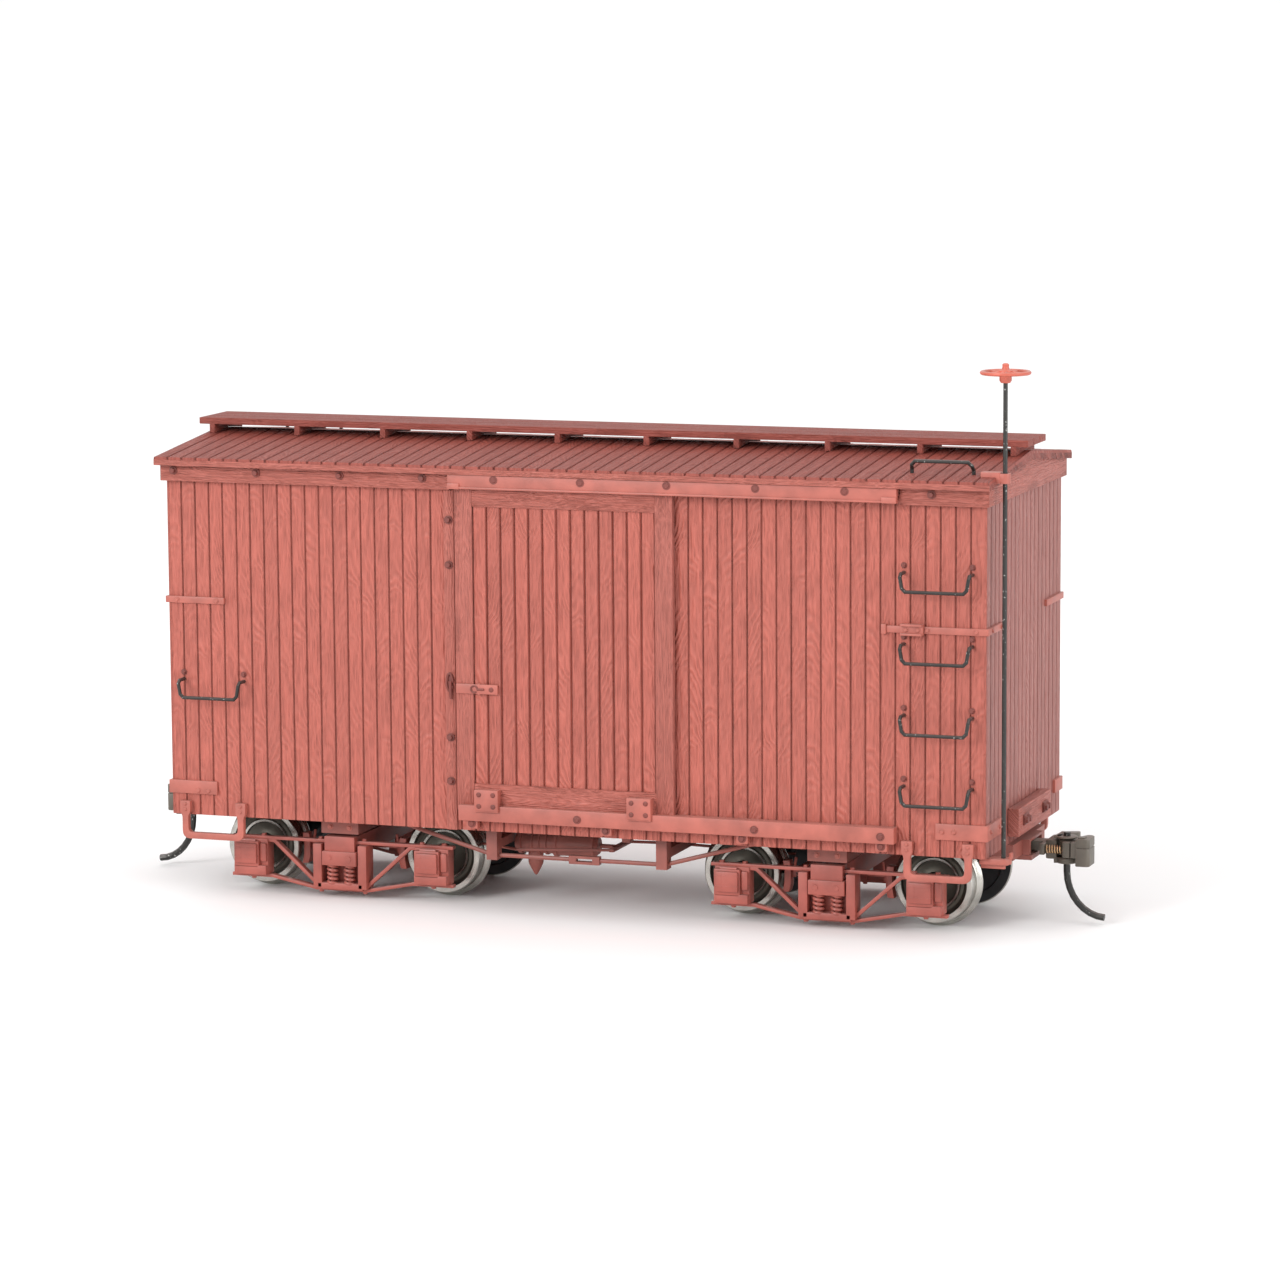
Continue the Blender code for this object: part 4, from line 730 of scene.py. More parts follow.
# %% Walls
GROOVE_DEPTH = 0.15
SKIN = BODY_SIDE - GROOVE_DEPTH
END_SKIN = BODY_END - GROOVE_DEPTH
DOORWAY = 13.0
DOORWAY_TOP = FASCIA_LOW - 2.0
UNDER_EAVE = roof_under(BODY_SIDE) - 0.08
POST = (-DOOR_HALF - 1.8, -DOOR_HALF - 0.3)
POST_FACE = BODY_SIDE + 0.45

side = Gathering()
left_of_door = (-END_SKIN - GROOVE_DEPTH * 0.4, -DOORWAY)
right_of_door = (DOORWAY, END_SKIN + GROOVE_DEPTH * 0.4)
for seed, (x, low, high) in enumerate([
        (left_of_door, BODY_LOW, UNDER_EAVE), (right_of_door, BODY_LOW, UNDER_EAVE),
        ((-DOORWAY, DOORWAY), BODY_LOW, DECK_TOP + 0.05), ((-DOORWAY, DOORWAY), DOORWAY_TOP, UNDER_EAVE)]):
    side.take(boards(x, low, high, -BODY_SIDE, GROOVE_DEPTH + 0.1, SIDING, seed + 11))
    side.block(x, (-SKIN, -BODY_SIDE + 1.2), (low + 0.02, high), 0, way="Z")
for x in (BODY_END - 0.2, -BODY_END + 0.2):
    side.block((x - 0.2, x + 0.2), (-BODY_SIDE, -SKIN + 0.1), (BODY_LOW, UNDER_EAVE), 0.1, way="Z")

end = Gathering()
to_end = Matrix.Rotation(math.pi / 2, 4, "Z")
end.take(boards((-SKIN, SKIN), BODY_LOW, UNDER_EAVE, -BODY_END, GROOVE_DEPTH + 0.1, END_SIDING_SHADED, 31, 2.0,
                0.16, to_end), 1)
gable = [(-SKIN, BODY_LOW + 0.02), (SKIN, BODY_LOW + 0.02), (SKIN, UNDER_EAVE), (0, roof_under(0) - 0.08),
         (-SKIN, UNDER_EAVE)]
end.plate(gable, "X", BODY_END - 1.2, END_SKIN, 0, look=1, way="Z")

# %% [markdown]
# A post stands by the closed edge of each door, with its staple. Strap irons wrap the corners,
# and one of them carries a small bracket block.

# %% Posts and straps
side.block(POST, (-POST_FACE, -SKIN), (BODY_LOW, FASCIA_LOW - 0.05), 0.12, 2, "Z")
STAPLE_Z = HASP_Z = BODY_LOW + 18.6
post_mid = sum(POST) / 2
staple = [(post_mid + 0.42 * u, -POST_FACE - 0.2, STAPLE_Z + 1.3 + 1.2 * v)
          for u, v in arc(1.0, 0, math.tau, 16)[:-1]]
side.rod(staple, 0.17, 8, 4)
side.block((post_mid - 0.3, post_mid + 0.3), (-POST_FACE - 0.12, -POST_FACE + 0.1),
           (STAPLE_Z + 0.4, STAPLE_Z + 2.3), 0.05, 4)
peg = [(post_mid + 0.1, -POST_FACE - 0.3, STAPLE_Z + 1.5),
       (post_mid + 0.2, -POST_FACE - 0.3, STAPLE_Z - 0.9)]
side.rod(peg, [0.28, 0.2], 8, 4)
STRAP = 0.35
straps = Gathering()


def corner_strap(x_in, y_in, low, high, near):
    """Strap iron round an A-end corner: flat bar on the side, flat bar on the end."""
    edge = 1 if near else -1
    out_x, out_y = BODY_END + STRAP, BODY_SIDE + STRAP
    path = [(x_in, -out_y * edge), (out_x, -out_y * edge), (out_x, -y_in * edge),
            (BODY_END - 0.2, -y_in * edge), (BODY_END - 0.2, (-BODY_SIDE + 0.2) * edge),
            (x_in, (-BODY_SIDE + 0.2) * edge)]
    straps.plate(path, "Z", low, high, 0.1)


MID, LOW = BODY_LOW + 29.0, BODY_LOW + 2.3
corner_strap(BODY_END - 13.75, 12.0, MID, MID + 0.9, True)
corner_strap(BODY_END - 6.65, 12.5, LOW, LOW + 2.1, True)
corner_strap(BODY_END - 8.25, 10.5, MID, MID + 0.9, False)
corner_strap(BODY_END - 6.75, 15.4, LOW + 0.6, LOW + 2.4, False)
straps.block((BODY_END - 11.3, BODY_END - 8.2), (-BODY_SIDE - 0.75, -BODY_SIDE + 0.1),
             (MID - 0.25, MID + 1.25), 0.12)
for z in ((MID - 0.25, MID + 0.05), (MID + 0.95, MID + 1.25)):
    straps.block((BODY_END - 11.2, BODY_END - 8.3), (-BODY_SIDE - 1.1, -BODY_SIDE - 0.6), z, 0.08)
straps.block((BODY_END - 13.9, BODY_END - 13.2), (-BODY_SIDE - 0.6, -BODY_SIDE + 0.1),
             (MID - 0.2, MID + 1.1), 0.15)

front = (0, -1, 0)
bolts = [((POST[0] + 0.75, -POST_FACE, z), front) for z in (53.0, 47.0, 23.9, 18.0)]
GRAB_HEIGHTS = [BODY_LOW + 9.05 + 9.25 * n for n in range(4)]
feet = [((x, -BODY_SIDE, z + 0.95), front) for z in GRAB_HEIGHTS for x in (46.2, 55.3)]
feet += [((x, -BODY_SIDE, BODY_LOW + 19.55), front) for x in (-55.1, -46.3)]
rivets = [((x, -BODY_SIDE - STRAP, LOW + 1.05), front) for x in (51.4, 53.0, -53.2, -51.7)]
rivets += [((x, -BODY_SIDE - STRAP, MID + 0.45), front) for x in (-55.8, -50.0, 49.4, 55.9)]
rivets += [((BODY_END - 9.7 + dx, -BODY_SIDE - 0.75, MID + 0.5), front) for dx in (-0.8, 0.8)]
rivets += [((BODY_END + STRAP, y, LOW + 1.05), (1, 0, 0)) for y in (-13.4, -17.6)]
rivets += [((BODY_END + STRAP, y, MID + 0.45), (1, 0, 0)) for y in (-12.9, -17.2)]
side.take(fasteners(bolts, BOLT, SHADED_BOLT_RED), 4)
side.take(fasteners(feet, dict(BOLT, Height=0.4, Radius=0.36, Washer=0.4), SHADED_BOLT_RED), 4)
straps.take(fasteners(rivets, RIVET, FITTING), 0)

shell = Gathering().joined(side).joined(side.half_turned()).joined(end).joined(end.half_turned())
shell.piece("boarded_body", [SIDING, END_SIDING_SHADED, TRIM, FITTING, SHADED_BOLT_RED], "car", ["body_shell"],
            "oxide_body")
straps.joined(straps.half_turned()).piece("strap_irons", [FITTING], "car", (), "oxide_body")

# %% [markdown]
# ## Roof, fascia and running board
# The roof boards run from eave to ridge over a thin slab. Under the eaves a fascia board closes
# the top of each wall, and gives way over the door to the hood of its track. The three planks of
# the running board lie on saddles, with a dark gap below.

# %% Roof
ROOF_BOARD = 0.4
roof = Gathering()
tilt = math.atan(SLOPE)
slope_length = EAVE / math.cos(tilt)
laid = boards((-ROOF_END, ROOF_END), 0, slope_length, 0, ROOF_BOARD, ROOFING, 57, BOARD_PITCH, 0.2)
lay = Matrix.Translation((0, -EAVE, EAVE_Z + SLAB)) @ Matrix.Rotation(tilt - math.pi / 2, 4, "X")
laid.transform(lay)
roof.take(laid, 0)
roof.take(laid, 0, place=HALF_TURN)
slab_top = EAVE_Z + SLAB - ROOF_BOARD + 0.02
slab_side = EAVE - 0.3
low_slab = [(-slab_side, roof_under(slab_side)), (0, roof_under(0)), (slab_side, roof_under(slab_side)),
            (slab_side, slab_top), (0, RIDGE - ROOF_BOARD), (-slab_side, slab_top)]
roof.plate(low_slab, "X", -ROOF_END, ROOF_END, 0, 0, "X")
for y in ((-EAVE, -EAVE + 0.4), (EAVE - 0.4, EAVE)):
    roof.block((-ROOF_END, ROOF_END), y, (EAVE_Z, slab_top), 0.03, 1)

FASCIA_OUT, FASCIA_END = BODY_SIDE + 0.93, BODY_END + 0.54


def add_fascia(gathering):
    """The fascia board of a long side, with its bolts and the strip behind the hood."""
    thick, top = (-FASCIA_OUT, -BODY_SIDE - SEAT), roof_under(FASCIA_OUT) + 0.1
    for x in ((-FASCIA_END + 0.1, HOOD_X[0] - 0.15), (HOOD_X[1] + 0.15, FASCIA_END - 0.1)):
        gathering.block(x, thick, (FASCIA_LOW, top), 0.1, 1)
    gathering.block(HOOD_X, thick, (DOOR_TOP + 0.2, top), 0.05, 1)
    heads = [((x, -FASCIA_OUT, FASCIA_LOW + 1.45), front) for x in (-55.7, -43.6, -31.5, -19.7, 50.1)]
    gathering.take(fasteners(heads, BOLT, SHADED_BOLT_RED), 3)


add_fascia(roof)
band_y = FASCIA_OUT - 0.06
band = [(-band_y, FASCIA_LOW), (band_y, FASCIA_LOW), (band_y, roof_under(band_y) + 0.1),
        (0, roof_under(0) + 0.1), (-band_y, roof_under(band_y) + 0.1)]
fascia_end = Gathering().plate(band, "X", BODY_END + SEAT, FASCIA_END, 0.08, 1, "Y")

# %% Staff bracket on the roof edge
top = roof_under(STAFF[1]) + SLAB
roof.block((BODY_END - 1.2, STAFF[0] - 0.5), (STAFF[1] - 0.8, STAFF[1] + 0.8), (top - 0.9, top + 0.55),
           0.12, 2)
EYE_R, HOLE_R = 0.72, 0.38
eye_outline = ([(-0.6, -EYE_R)] + arc(EYE_R, -math.pi / 2, math.pi / 2, 10)
               + [(-0.6, EYE_R), (-0.6, HOLE_R)]
               + arc(HOLE_R, math.pi / 2, -math.pi / 2, 10) + [(-0.6, -HOLE_R)])
roof.plate([(STAFF[0] + u, STAFF[1] + v) for u, v in eye_outline], "Z", top - 0.9, top + 0.4, 0.05, 2)
whole_roof = Gathering().joined(roof).joined(fascia_end).joined(fascia_end.half_turned())
other_side = Gathering()
add_fascia(other_side)
whole_roof.joined(other_side.half_turned())
whole_roof.piece("boarded_roof", [ROOFING, TRIM, FITTING, SHADED_BOLT_RED], "car", ["roof"], "roof_red")

# %% Running board
walk = Gathering()
for n in range(3):
    plank = -BOARD_SIDE + n * 2 * BOARD_SIDE / 3
    walk.block((-BOARD_END, BOARD_END), (plank + 0.06, plank + 2 * BOARD_SIDE / 3 - 0.06),
               (BOARD_LOW, BOARD_TOP), 0.1)
SADDLE = 0.375
saddles = [-BODY_END + SADDLE + n * (2 * BODY_END - 2 * SADDLE) / 9 for n in range(10)]
for x in saddles:
    seat = [(-BOARD_SIDE, RIDGE - SLOPE * BOARD_SIDE + 0.05), (0, RIDGE + 0.05),
            (BOARD_SIDE, RIDGE - SLOPE * BOARD_SIDE + 0.05),
            (BOARD_SIDE, BOARD_LOW + 0.1), (-BOARD_SIDE, BOARD_LOW + 0.1)]
    walk.plate(seat, "X", x - SADDLE, x + SADDLE, 0.05, 0, "Y")
nails = [((x, y, BOARD_TOP - 0.02), (0, 0, 1)) for x in saddles for y in (-3.6, -2.2, -0.7, 0.7, 2.2, 3.6)]
walk.take(fasteners(nails, dict(Radius=0.16, Height=0.05, Crown=0.6, Washer=0.16, Sides=8), FITTING), 0)
walk.piece("running_planks", [ROOFING], "car", ["running_board"], "roof_red")

# %% [markdown]
# ## Doors and tracks
# Each door is a frame of two stiles and two rails round a panel of upright boards. Two shoes
# hang over the rail below it, and a hasp reaches to the post. The hood above hides the top.

# %% Doors
DOOR_BACK, DOOR_FACE = BODY_SIDE + 0.1, BODY_SIDE + 1.05
STILE, RAIL_TOP, RAIL_LOW = 2.45, FASCIA_LOW - 2.1, DOOR_LOW + 3.65
door = Gathering()
door.block((-DOOR_HALF, -DOOR_HALF + STILE), (-DOOR_FACE, -DOOR_BACK), (DOOR_LOW, DOOR_TOP), 0.08, 1, "Z")
door.block((DOOR_HALF - STILE, DOOR_HALF), (-DOOR_FACE, -DOOR_BACK), (DOOR_LOW, DOOR_TOP), 0.08, 1, "Z")
for z in ((DOOR_LOW, RAIL_LOW), (RAIL_TOP, DOOR_TOP)):
    door.block((-DOOR_HALF + STILE, DOOR_HALF - STILE), (-DOOR_FACE + 0.02, -DOOR_BACK), z, 0.08, 1, "X")
door.take(boards((-DOOR_HALF + STILE, DOOR_HALF - STILE), RAIL_LOW - 0.1, RAIL_TOP + 0.1, -DOOR_FACE + 0.24,
                 0.3,
                 SIDING, 77, 1.97, 0.2), 0)
door.block((-DOOR_HALF + STILE, DOOR_HALF - STILE), (-DOOR_FACE + 0.5, -DOOR_BACK), (RAIL_LOW, RAIL_TOP), 0,
           0, "Z")
SHOE_OUT = -span("door_near", "Y")[0]
SHOE_Z = BODY_LOW + 2.9
shoe_bolts = []
for x in (-DOOR_HALF + 4.5, DOOR_HALF - 4.5):
    door.block((x - 1.7, x + 1.7), (-SHOE_OUT + 0.16, -DOOR_FACE + 0.2), (DOOR_LOW + 0.02, SHOE_Z + 3.0),
               0.14, 2)
    door.block((x - 1.7, x + 1.7), (-SHOE_OUT + 0.16, -SHOE_OUT + 0.4), (SHOE_Z, DOOR_LOW + 0.3), 0.12, 2)
    shoe_bolts += [((x + dx, -SHOE_OUT + 0.16, SHOE_Z + z), front) for dx in (-1.0, 1.0)
                   for z in (0.8, 2.35)]
door.block((-DOOR_HALF + 0.1, -DOOR_HALF + 6.0), (-DOOR_FACE - 0.33, -DOOR_FACE + 0.1),
           (HASP_Z, HASP_Z + 1.3), 0.12, 2)
door.block((-DOOR_HALF + 3.2, -DOOR_HALF + 3.5), (-DOOR_FACE - 0.35, -DOOR_FACE + 0.1),
           (HASP_Z - 0.1, HASP_Z + 1.4), 0.05, 2)
hasp_rivets = [((-DOOR_HALF + 5.1, -DOOR_FACE - 0.33, HASP_Z + 0.65), front)]
hasp_loop = [(-DOOR_HALF + 2.7 + u, -DOOR_FACE - 0.37, HASP_Z + 0.65 + v)
             for u, v in arc(0.45, 0, math.tau, 14)[:-2]]
door.rod(hasp_loop, 0.13, 8, 3)
door.rod([(-DOOR_HALF + 3.1, -DOOR_FACE - 0.4, HASP_Z + 0.65),
          (-DOOR_HALF + 4.1, -DOOR_FACE - 0.4, HASP_Z + 0.65)], 0.16, 8, 3)
door.take(fasteners(shoe_bolts, dict(RIVET, Height=0.15), SHADED_BOLT_RED), 3)
door.take(fasteners(hasp_rivets, dict(RIVET, Height=0.12), SHADED_BOLT_RED), 3)
for which, made in zip(("near", "far"), (door, door.half_turned())):
    made.piece(f"boarded_door_{which}", [SIDING, TRIM, FITTING, SHADED_BOLT_RED], f"sliding_door_{which}",
               [f"door_{which}"], "oxide_body")

# %% Tracks
track = Gathering()
RAIL_Z = BODY_LOW + 1.6
RAIL_OUT = BODY_SIDE + 1.85
track.block(RAIL_X, (-RAIL_OUT, -BODY_SIDE - SEAT), (RAIL_Z, RAIL_Z + 2.1), 0.12)
bracket_x = [RAIL_X[0] + 1.7 + (RAIL_X[1] - RAIL_X[0] - 3.6) * n / 3 for n in range(4)]
for x in bracket_x:
    track.block((x - 0.8, x + 0.8), (-BODY_SIDE - 1.2, -BODY_SIDE - SEAT), (RAIL_Z - 1.15, RAIL_Z + 0.3),
                0.12)
rail_bolts = [((x, -RAIL_OUT, RAIL_Z + 0.95), front) for x in (2.0, 26.5, 43.6)]
rail_bolts += [((x, -BODY_SIDE - 1.2, RAIL_Z - 0.45), front) for x in bracket_x]
track.take(fasteners(rail_bolts, dict(BOLT, Height=0.25), SHADED_BOLT_RED), 1)
HOOD_OUT = EAVE - 0.1
HOOD_Z = (FASCIA_LOW + 0.3, EAVE_Z - 0.05)
HOOD_FACE = HOOD_OUT - 0.15
section = [(-HOOD_FACE, HOOD_Z[0] + 0.1), (-DOOR_FACE - 0.15, HOOD_Z[0] + 0.1),
           (-DOOR_FACE - 0.15, DOOR_TOP + 0.3),
           (-FASCIA_OUT - 0.05, DOOR_TOP + 0.3), (-FASCIA_OUT - 0.05, HOOD_Z[1]), (-HOOD_FACE, HOOD_Z[1])]
track.plate(section, "X", *HOOD_X, 0.06)
track.block((HOOD_X[0] + 0.1, HOOD_X[1] - 0.1), (-HOOD_OUT, -DOOR_FACE - 0.2),
            (HOOD_Z[0], HOOD_Z[0] + 0.28), 0.1)
for x in ((HOOD_X[0] - 0.02, HOOD_X[0] + 1.7), (HOOD_X[1] - 2.0, HOOD_X[1] + 0.02)):
    track.block(x, (-HOOD_OUT - 0.05, -DOOR_FACE - 0.2), (HOOD_Z[0] - 0.05, HOOD_Z[0] + 0.75), 0.12)
hood_bolts = [((x, -HOOD_FACE, HOOD_Z[0] + 1.3), front) for x in (-9.3, 2.8, 14.7, 26.8, 38.8)]
track.take(fasteners(hood_bolts, dict(BOLT, Height=0.15), SHADED_BOLT_RED), 1)
stands = ["door_track_bottom_near", "door_track_top_near", "door_track_bottom_far", "door_track_top_far"]
track.joined(track.half_turned()).piece("door_tracks", [FITTING, SHADED_BOLT_RED], "car", stands, "oxide_body")

# %% [markdown]
# ## Trucks
# An arch-bar truck is a bolster slung between two trusses of flat bars. The bars meet the
# journal boxes at the ends and the spring plank in the middle, where two coil springs carry the
# bolster's end. The near truss is modelled once and turned for the far one.


# %% Arch bars
def flat_bar(gathering, path, thick, y, look=0):
    """A flat bar bent along (x, z) points and as wide as the y span."""
    path = [Vector((x, 0, z)) for x, z in path]
    upper, lower = [], []
    for i, point in enumerate(path):
        before = (point - path[i - 1]).normalized() if i else None
        after = (path[i + 1] - point).normalized() if i < len(path) - 1 else None
        ahead = (before or after) + (after or before)
        ahead.normalize()
        normal = Vector((-ahead.z, 0, ahead.x))
        stretch = thick / 2 / max(0.5, normal.dot(Vector((-(after or before).z, 0, (after or before).x))))
        upper.append((point + normal * stretch).xz[:])
        lower.append((point - normal * stretch).xz[:])
    return gathering.plate(upper + lower[::-1], "Y", *y, 0.07, look)


def truck_side():
    """The near side of a truck, about the truck's own centre."""
    made = Gathering()
    half = WHEELBASE / 2
    bar = (-14.1, -13.1)
    bar_mid = sum(bar) / 2
    spring_x, spring_y, plank_top = 1.25, -14.3, 2.1
    flat_bar(made, [(-16.2, 7.78), (16.2, 7.78)], 0.44, bar)
    flat_bar(made, [(-16.2, 2.53), (-10.3, 2.53), (-3.8, 1.23), (3.8, 1.23), (10.3, 2.53), (16.2, 2.53)],
             0.44, bar)
    flat_bar(made, [(-11.0, 7.5), (-9.9, 7.4), (-3.6, 1.75), (3.6, 1.75), (9.9, 7.4), (11.0, 7.5)], 0.5,
             bar)
    for way in (-1, 1):
        x = way * half
        made.block((x - 2.4, x + 2.4), (-14.3, -12.2), (2.7, 7.6), 0.12)
        made.block((x - 2.35, x + 2.35), (-15.0, -12.4), (2.7, 4.0), 0.14)
        made.block((x - 2.35, x + 1.3), (-15.0, -13.0), (3.6, 7.35), 0.2)
        made.block((x - 2.0, x + 1.1), (-15.38, -14.8), (4.3, 7.05), 0.2)
        for z in (5.1, 6.45):
            made.block((x - 2.05, x + 1.15), (-15.4, -15.0), (z - 0.05, z + 0.05), 0.02)
        made.block((x - 1.25, x - 1.12), (-15.4, -15.0), (4.5, 6.9), 0.03)
        made.block((x + 1.35, x + 2.3), (-14.75, -14.0), (4.5, 7.1), 0.3)
        made.rod([(x - 1.5, -14.7, 7.4), (x + 0.8, -14.7, 7.4)], 0.22, 8)
        made.block((way * 2.65, way * 3.9), (-14.9, -12.3), (1.5, 7.5), 0.1)
    made.block((-3.3, 3.3), (-14.9, -12.6), (1.3, 2.2), 0.12)
    made.block((-2.5, 2.5), (-15.2, -12.7), (4.65, 6.6), 0.12)
    made.block((-2.2, 2.2), (-14.9, -12.7), (6.3, 8.62), 0.1)
    made.block((-2.6, 2.6), (-13.2, -12.9), (2.1, 4.8), 0.02)
    seats = bpy.data.meshes.new("springs")
    seats.from_pydata([(x, spring_y, plank_top) for x in (-spring_x, spring_x)], [], [])
    coils = run_tree(SPRINGS, seats, Radius=0.62, Height=2.6, Turns=4.5, Wire=0.2, Finish=TRUCK_RED)
    made.take(coils, 0, smooth=True)
    for x in (-spring_x, spring_x):
        made.rod([(x, spring_y, plank_top), (x, spring_y, 4.7)], 0.3, 8)
    nuts = [((x, -15.18, 5.65), front) for x in (-1.45, 1.45)]
    made.take(fasteners(nuts, dict(NUT, Height=0.12, Radius=0.42, Washer=0.55), TRUCK_RED), 0)
    caps = [((x, bar_mid, 8.0), (0, 0, 1))
            for x in (-half - 1.6, -half + 1.6, half - 1.6, half + 1.6, -3.2, 3.2)]
    made.take(fasteners(caps, BAR_NUT, TRUCK_RED), 0)
    under = [((x, bar_mid, z), (0, 0, -1))
             for x, z in ((-3.2, 1.02), (3.2, 1.02), (-half, 2.32), (half, 2.32))]
    made.take(fasteners(under, BAR_NUT, TRUCK_RED), 0)
    return made


def truck_middle():
    """Bolster, centre plate, brake beams, hangers and shoes."""
    made = Gathering()
    made.block((-2.2, 2.2), (-12.7, 12.7), (5.85, 8.6), 0.15)
    made.turned([(0, 8.0), (3.0, 8.0), (3.0, 8.75), (2.7, 8.9), (1.06, 8.9), (1.06, 8.0)],
                Matrix.Identity(4), 40)
    for end_way in (-1, 1):
        made.block((end_way * 6.05, end_way * 6.8), (-9.0, 9.0), (5.6, 6.4), 0.12)
        for side in (-1, 1):
            shoe = [(7.68, 8.0 - 0.15), (6.7, 7.9), (6.5, 7.0), (6.55, 4.6), (6.8, 3.7), (7.68, 3.65),
                    (7.45, 5.0), (7.42, 6.6)]
            made.plate([(end_way * x, z) for x, z in shoe], "Y", side * 8.15, side * 9.65, 0.08)
            made.block((end_way * 1.9, end_way * 6.9), (side * 8.6, side * 9.2), (6.35, 6.95), 0.1)
            made.rod([(end_way * 6.3, side * 8.9, 6.4), (end_way * 6.0, side * 8.9, 8.3)], 0.2, 8)
    return made


for letter, centre in (("a", TRUCK_X), ("b", -TRUCK_X)):
    near = truck_side()
    whole = Gathering().joined(near).joined(near.half_turned()).joined(truck_middle())
    for vert in whole.bm.verts:
        vert.co.x += centre
    whole.piece(f"arch_bar_truck_{letter}", [TRUCK_RED], f"truck_{letter}",
                [f"sideframe_{letter}_near", f"sideframe_{letter}_far", f"bolster_{letter}"], "truck_red")

# %% [markdown]
# ## Wheels
# The wheels are turned in one profile: a bright tread and flange, a dark dished face with a raised
# ring whose bright finish is a painted highlight, and a blackened back. The finish changes at the steps of
# the profile.

# %% Wheelsets
# (radius, distance from the middle of the axle, finish) of one half of a wheelset
# The raised ring at radius 2.95 to 3.52 mm takes the bright tread finish: a painted highlight on the dark
# face.
wheel_profile = [
    (0, 13.5, 0), (0.4, 13.5, 0), (0.6, 13.3, 0), (0.6, 10.7, 0), (1.15, 10.6, 1), (1.5, 10.35, 1),
    (1.55, 9.5, 1), (2.2, 9.3, 1), (2.95, 9.35, 0), (3.1, 9.6, 0), (3.4, 9.62, 0), (3.52, 9.4, 1),
    (3.9, 9.3, 1), (4.3, 9.45, 1), (4.42, 9.95, 0), (4.5, 10.05, 0), (5.1, 10.05, 0), (5.22, 9.95, 0),
    (5.25, 9.8, 0), (5.27, 8.6, 0), (5.33, 8.1, 0), (5.5, 7.95, 0), (5.85, 7.75, 0), (6.0, 7.55, 0),
    (5.98, 7.35, 0), (5.85, 7.25, 2), (4.6, 7.25, 2), (4.4, 7.5, 2), (2.0, 7.7, 2), (1.5, 7.25, 2),
    (1.0, 7.2, 2)]
half_profile = [(radius, height) for radius, height, _ in wheel_profile]
profile = half_profile + [(radius, -height) for radius, height in reversed(half_profile)]
looks = [look for _, _, look in wheel_profile]
for name in ("a_outer", "a_inner", "b_outer", "b_inner"):
    centre = sum(span(f"wheelset_{name}", "X")) / 2
    place = Matrix.Translation((centre, 0, AXLE_Z)) @ Matrix.Rotation(math.pi / 2, 4, "X")
    wheels = Gathering()
    wheels.turned(profile, place, 72, looks=looks[:-1] + [2] + looks[:-1][::-1])
    wheels.piece(f"turned_wheelset_{name}", [TREAD, WHEEL_FACE, WHEEL_BACK], f"axle_{name}",
                 [f"wheelset_{name}"],
                 "wheel_metal", 28)

# %% [markdown]
# ## Under the floor
# Truss rods and queen posts come from the CAD part. The brake cylinder gets its ribs and its
# levers, and the bolster ends get their bolts.

# %% Brake cylinder and levers
gear = Gathering()
BARREL_Y, BARREL_Z = -9.0, AXLE_Z + 2.3
END_X = span("brake_cylinder", "X")[1]
barrel = [(0, 0), (1.1, 0), (1.3, -0.3), (1.6, -0.5), (1.6, -1.0), (1.6, -5.6), (1.75, -5.7), (1.75, -6.2),
          (1.4, -6.3), (1.4, -10.7), (1.62, -10.8), (1.62, -11.25), (1.2, -11.35), (1.15, -11.75), (0, -11.8)]
gear.turned([(r, -x) for r, x in barrel],
            Matrix.Translation((END_X, BARREL_Y, BARREL_Z)) @ Matrix.Rotation(-math.pi / 2, 4, "Y"), 32)
for x in (-8.6, -7.6, -6.6):
    gear.turned([(1.3, 0), (1.58, 0), (1.58, 0.3), (1.3, 0.3), (1.3, 0)],
                Matrix.Translation((x, BARREL_Y, BARREL_Z)) @ Matrix.Rotation(math.pi / 2, 4, "Y"), 32)
for x in (-8.8, -0.8):
    gear.block((x - 0.45, x + 0.45), (BARREL_Y - 0.85, BARREL_Y + 0.85), (BARREL_Z + 1.0, 12.5), 0.1)
gear.turned([(0, -0.5), (0.95, -0.6), (1.04, -1.4), (1.04, -2.6), (0.95, -2.95), (0.25, -4.3), (0, -4.48)],
            Matrix.Translation((END_X - 9.1, BARREL_Y, BARREL_Z)), 24)
gear.rod([(1.0, BARREL_Y, BARREL_Z), (3.6, BARREL_Y, BARREL_Z)], 0.3, 10)
gear.rod(bent([(3.4, -11.2, 8.4), (3.4, -4.0, 8.3)], 1), 0.32, 8)
gear.block((3.1, 3.8), (-11.6, -4.0), (8.0, 8.45), 0.1)
gear.rod([(3.4, -4.4, 8.2), (9.5, -2.6, 8.0), (26.0, -1.2, 7.2)], 0.2, 8)
gear.rod([(3.4, -11.0, 8.2), (-9.8, -12.2, 7.8), (-26.0, -2.0, 7.2)], 0.2, 8)
gear.block((-8.1, -7.1), (-12.9, -12.0), (10.2, 12.5), 0.12)
gear.block((5.6, 6.8), (-13.5, -12.0), (9.8, 12.5), 0.12)
gear.rod(bent([(-10.4, -13.3, 11.6), (-8.6, -13.6, 10.6), (6.6, -13.4, 11.2), (9.9, -13.3, 11.8)], 1.0),
         0.16, 8)
gear.piece("brake_gear", [UNDER_RED], "car", ["brake_cylinder"], "oxide_body")

bolster_ends = Gathering()
pins = [((end_way * TRUCK_X + x, -14.6, 9.9), front) for end_way in (-1, 1) for x in (-1.4, 1.4)]
bolster_ends.take(fasteners(pins, dict(BOLT, Height=0.22, Radius=0.34, Washer=0.42), FITTING))
bolster_ends.joined(bolster_ends.half_turned()).piece("bolster_pins", [FITTING], "car", (), "oxide_body")

# %% [markdown]
# ## Ends of the car
# A deadwood block carries two clusters of nuts over each coupler. The coupler pocket below it
# has a lip. The hand brake's staff stands in a rounded foot bracket with a hook.

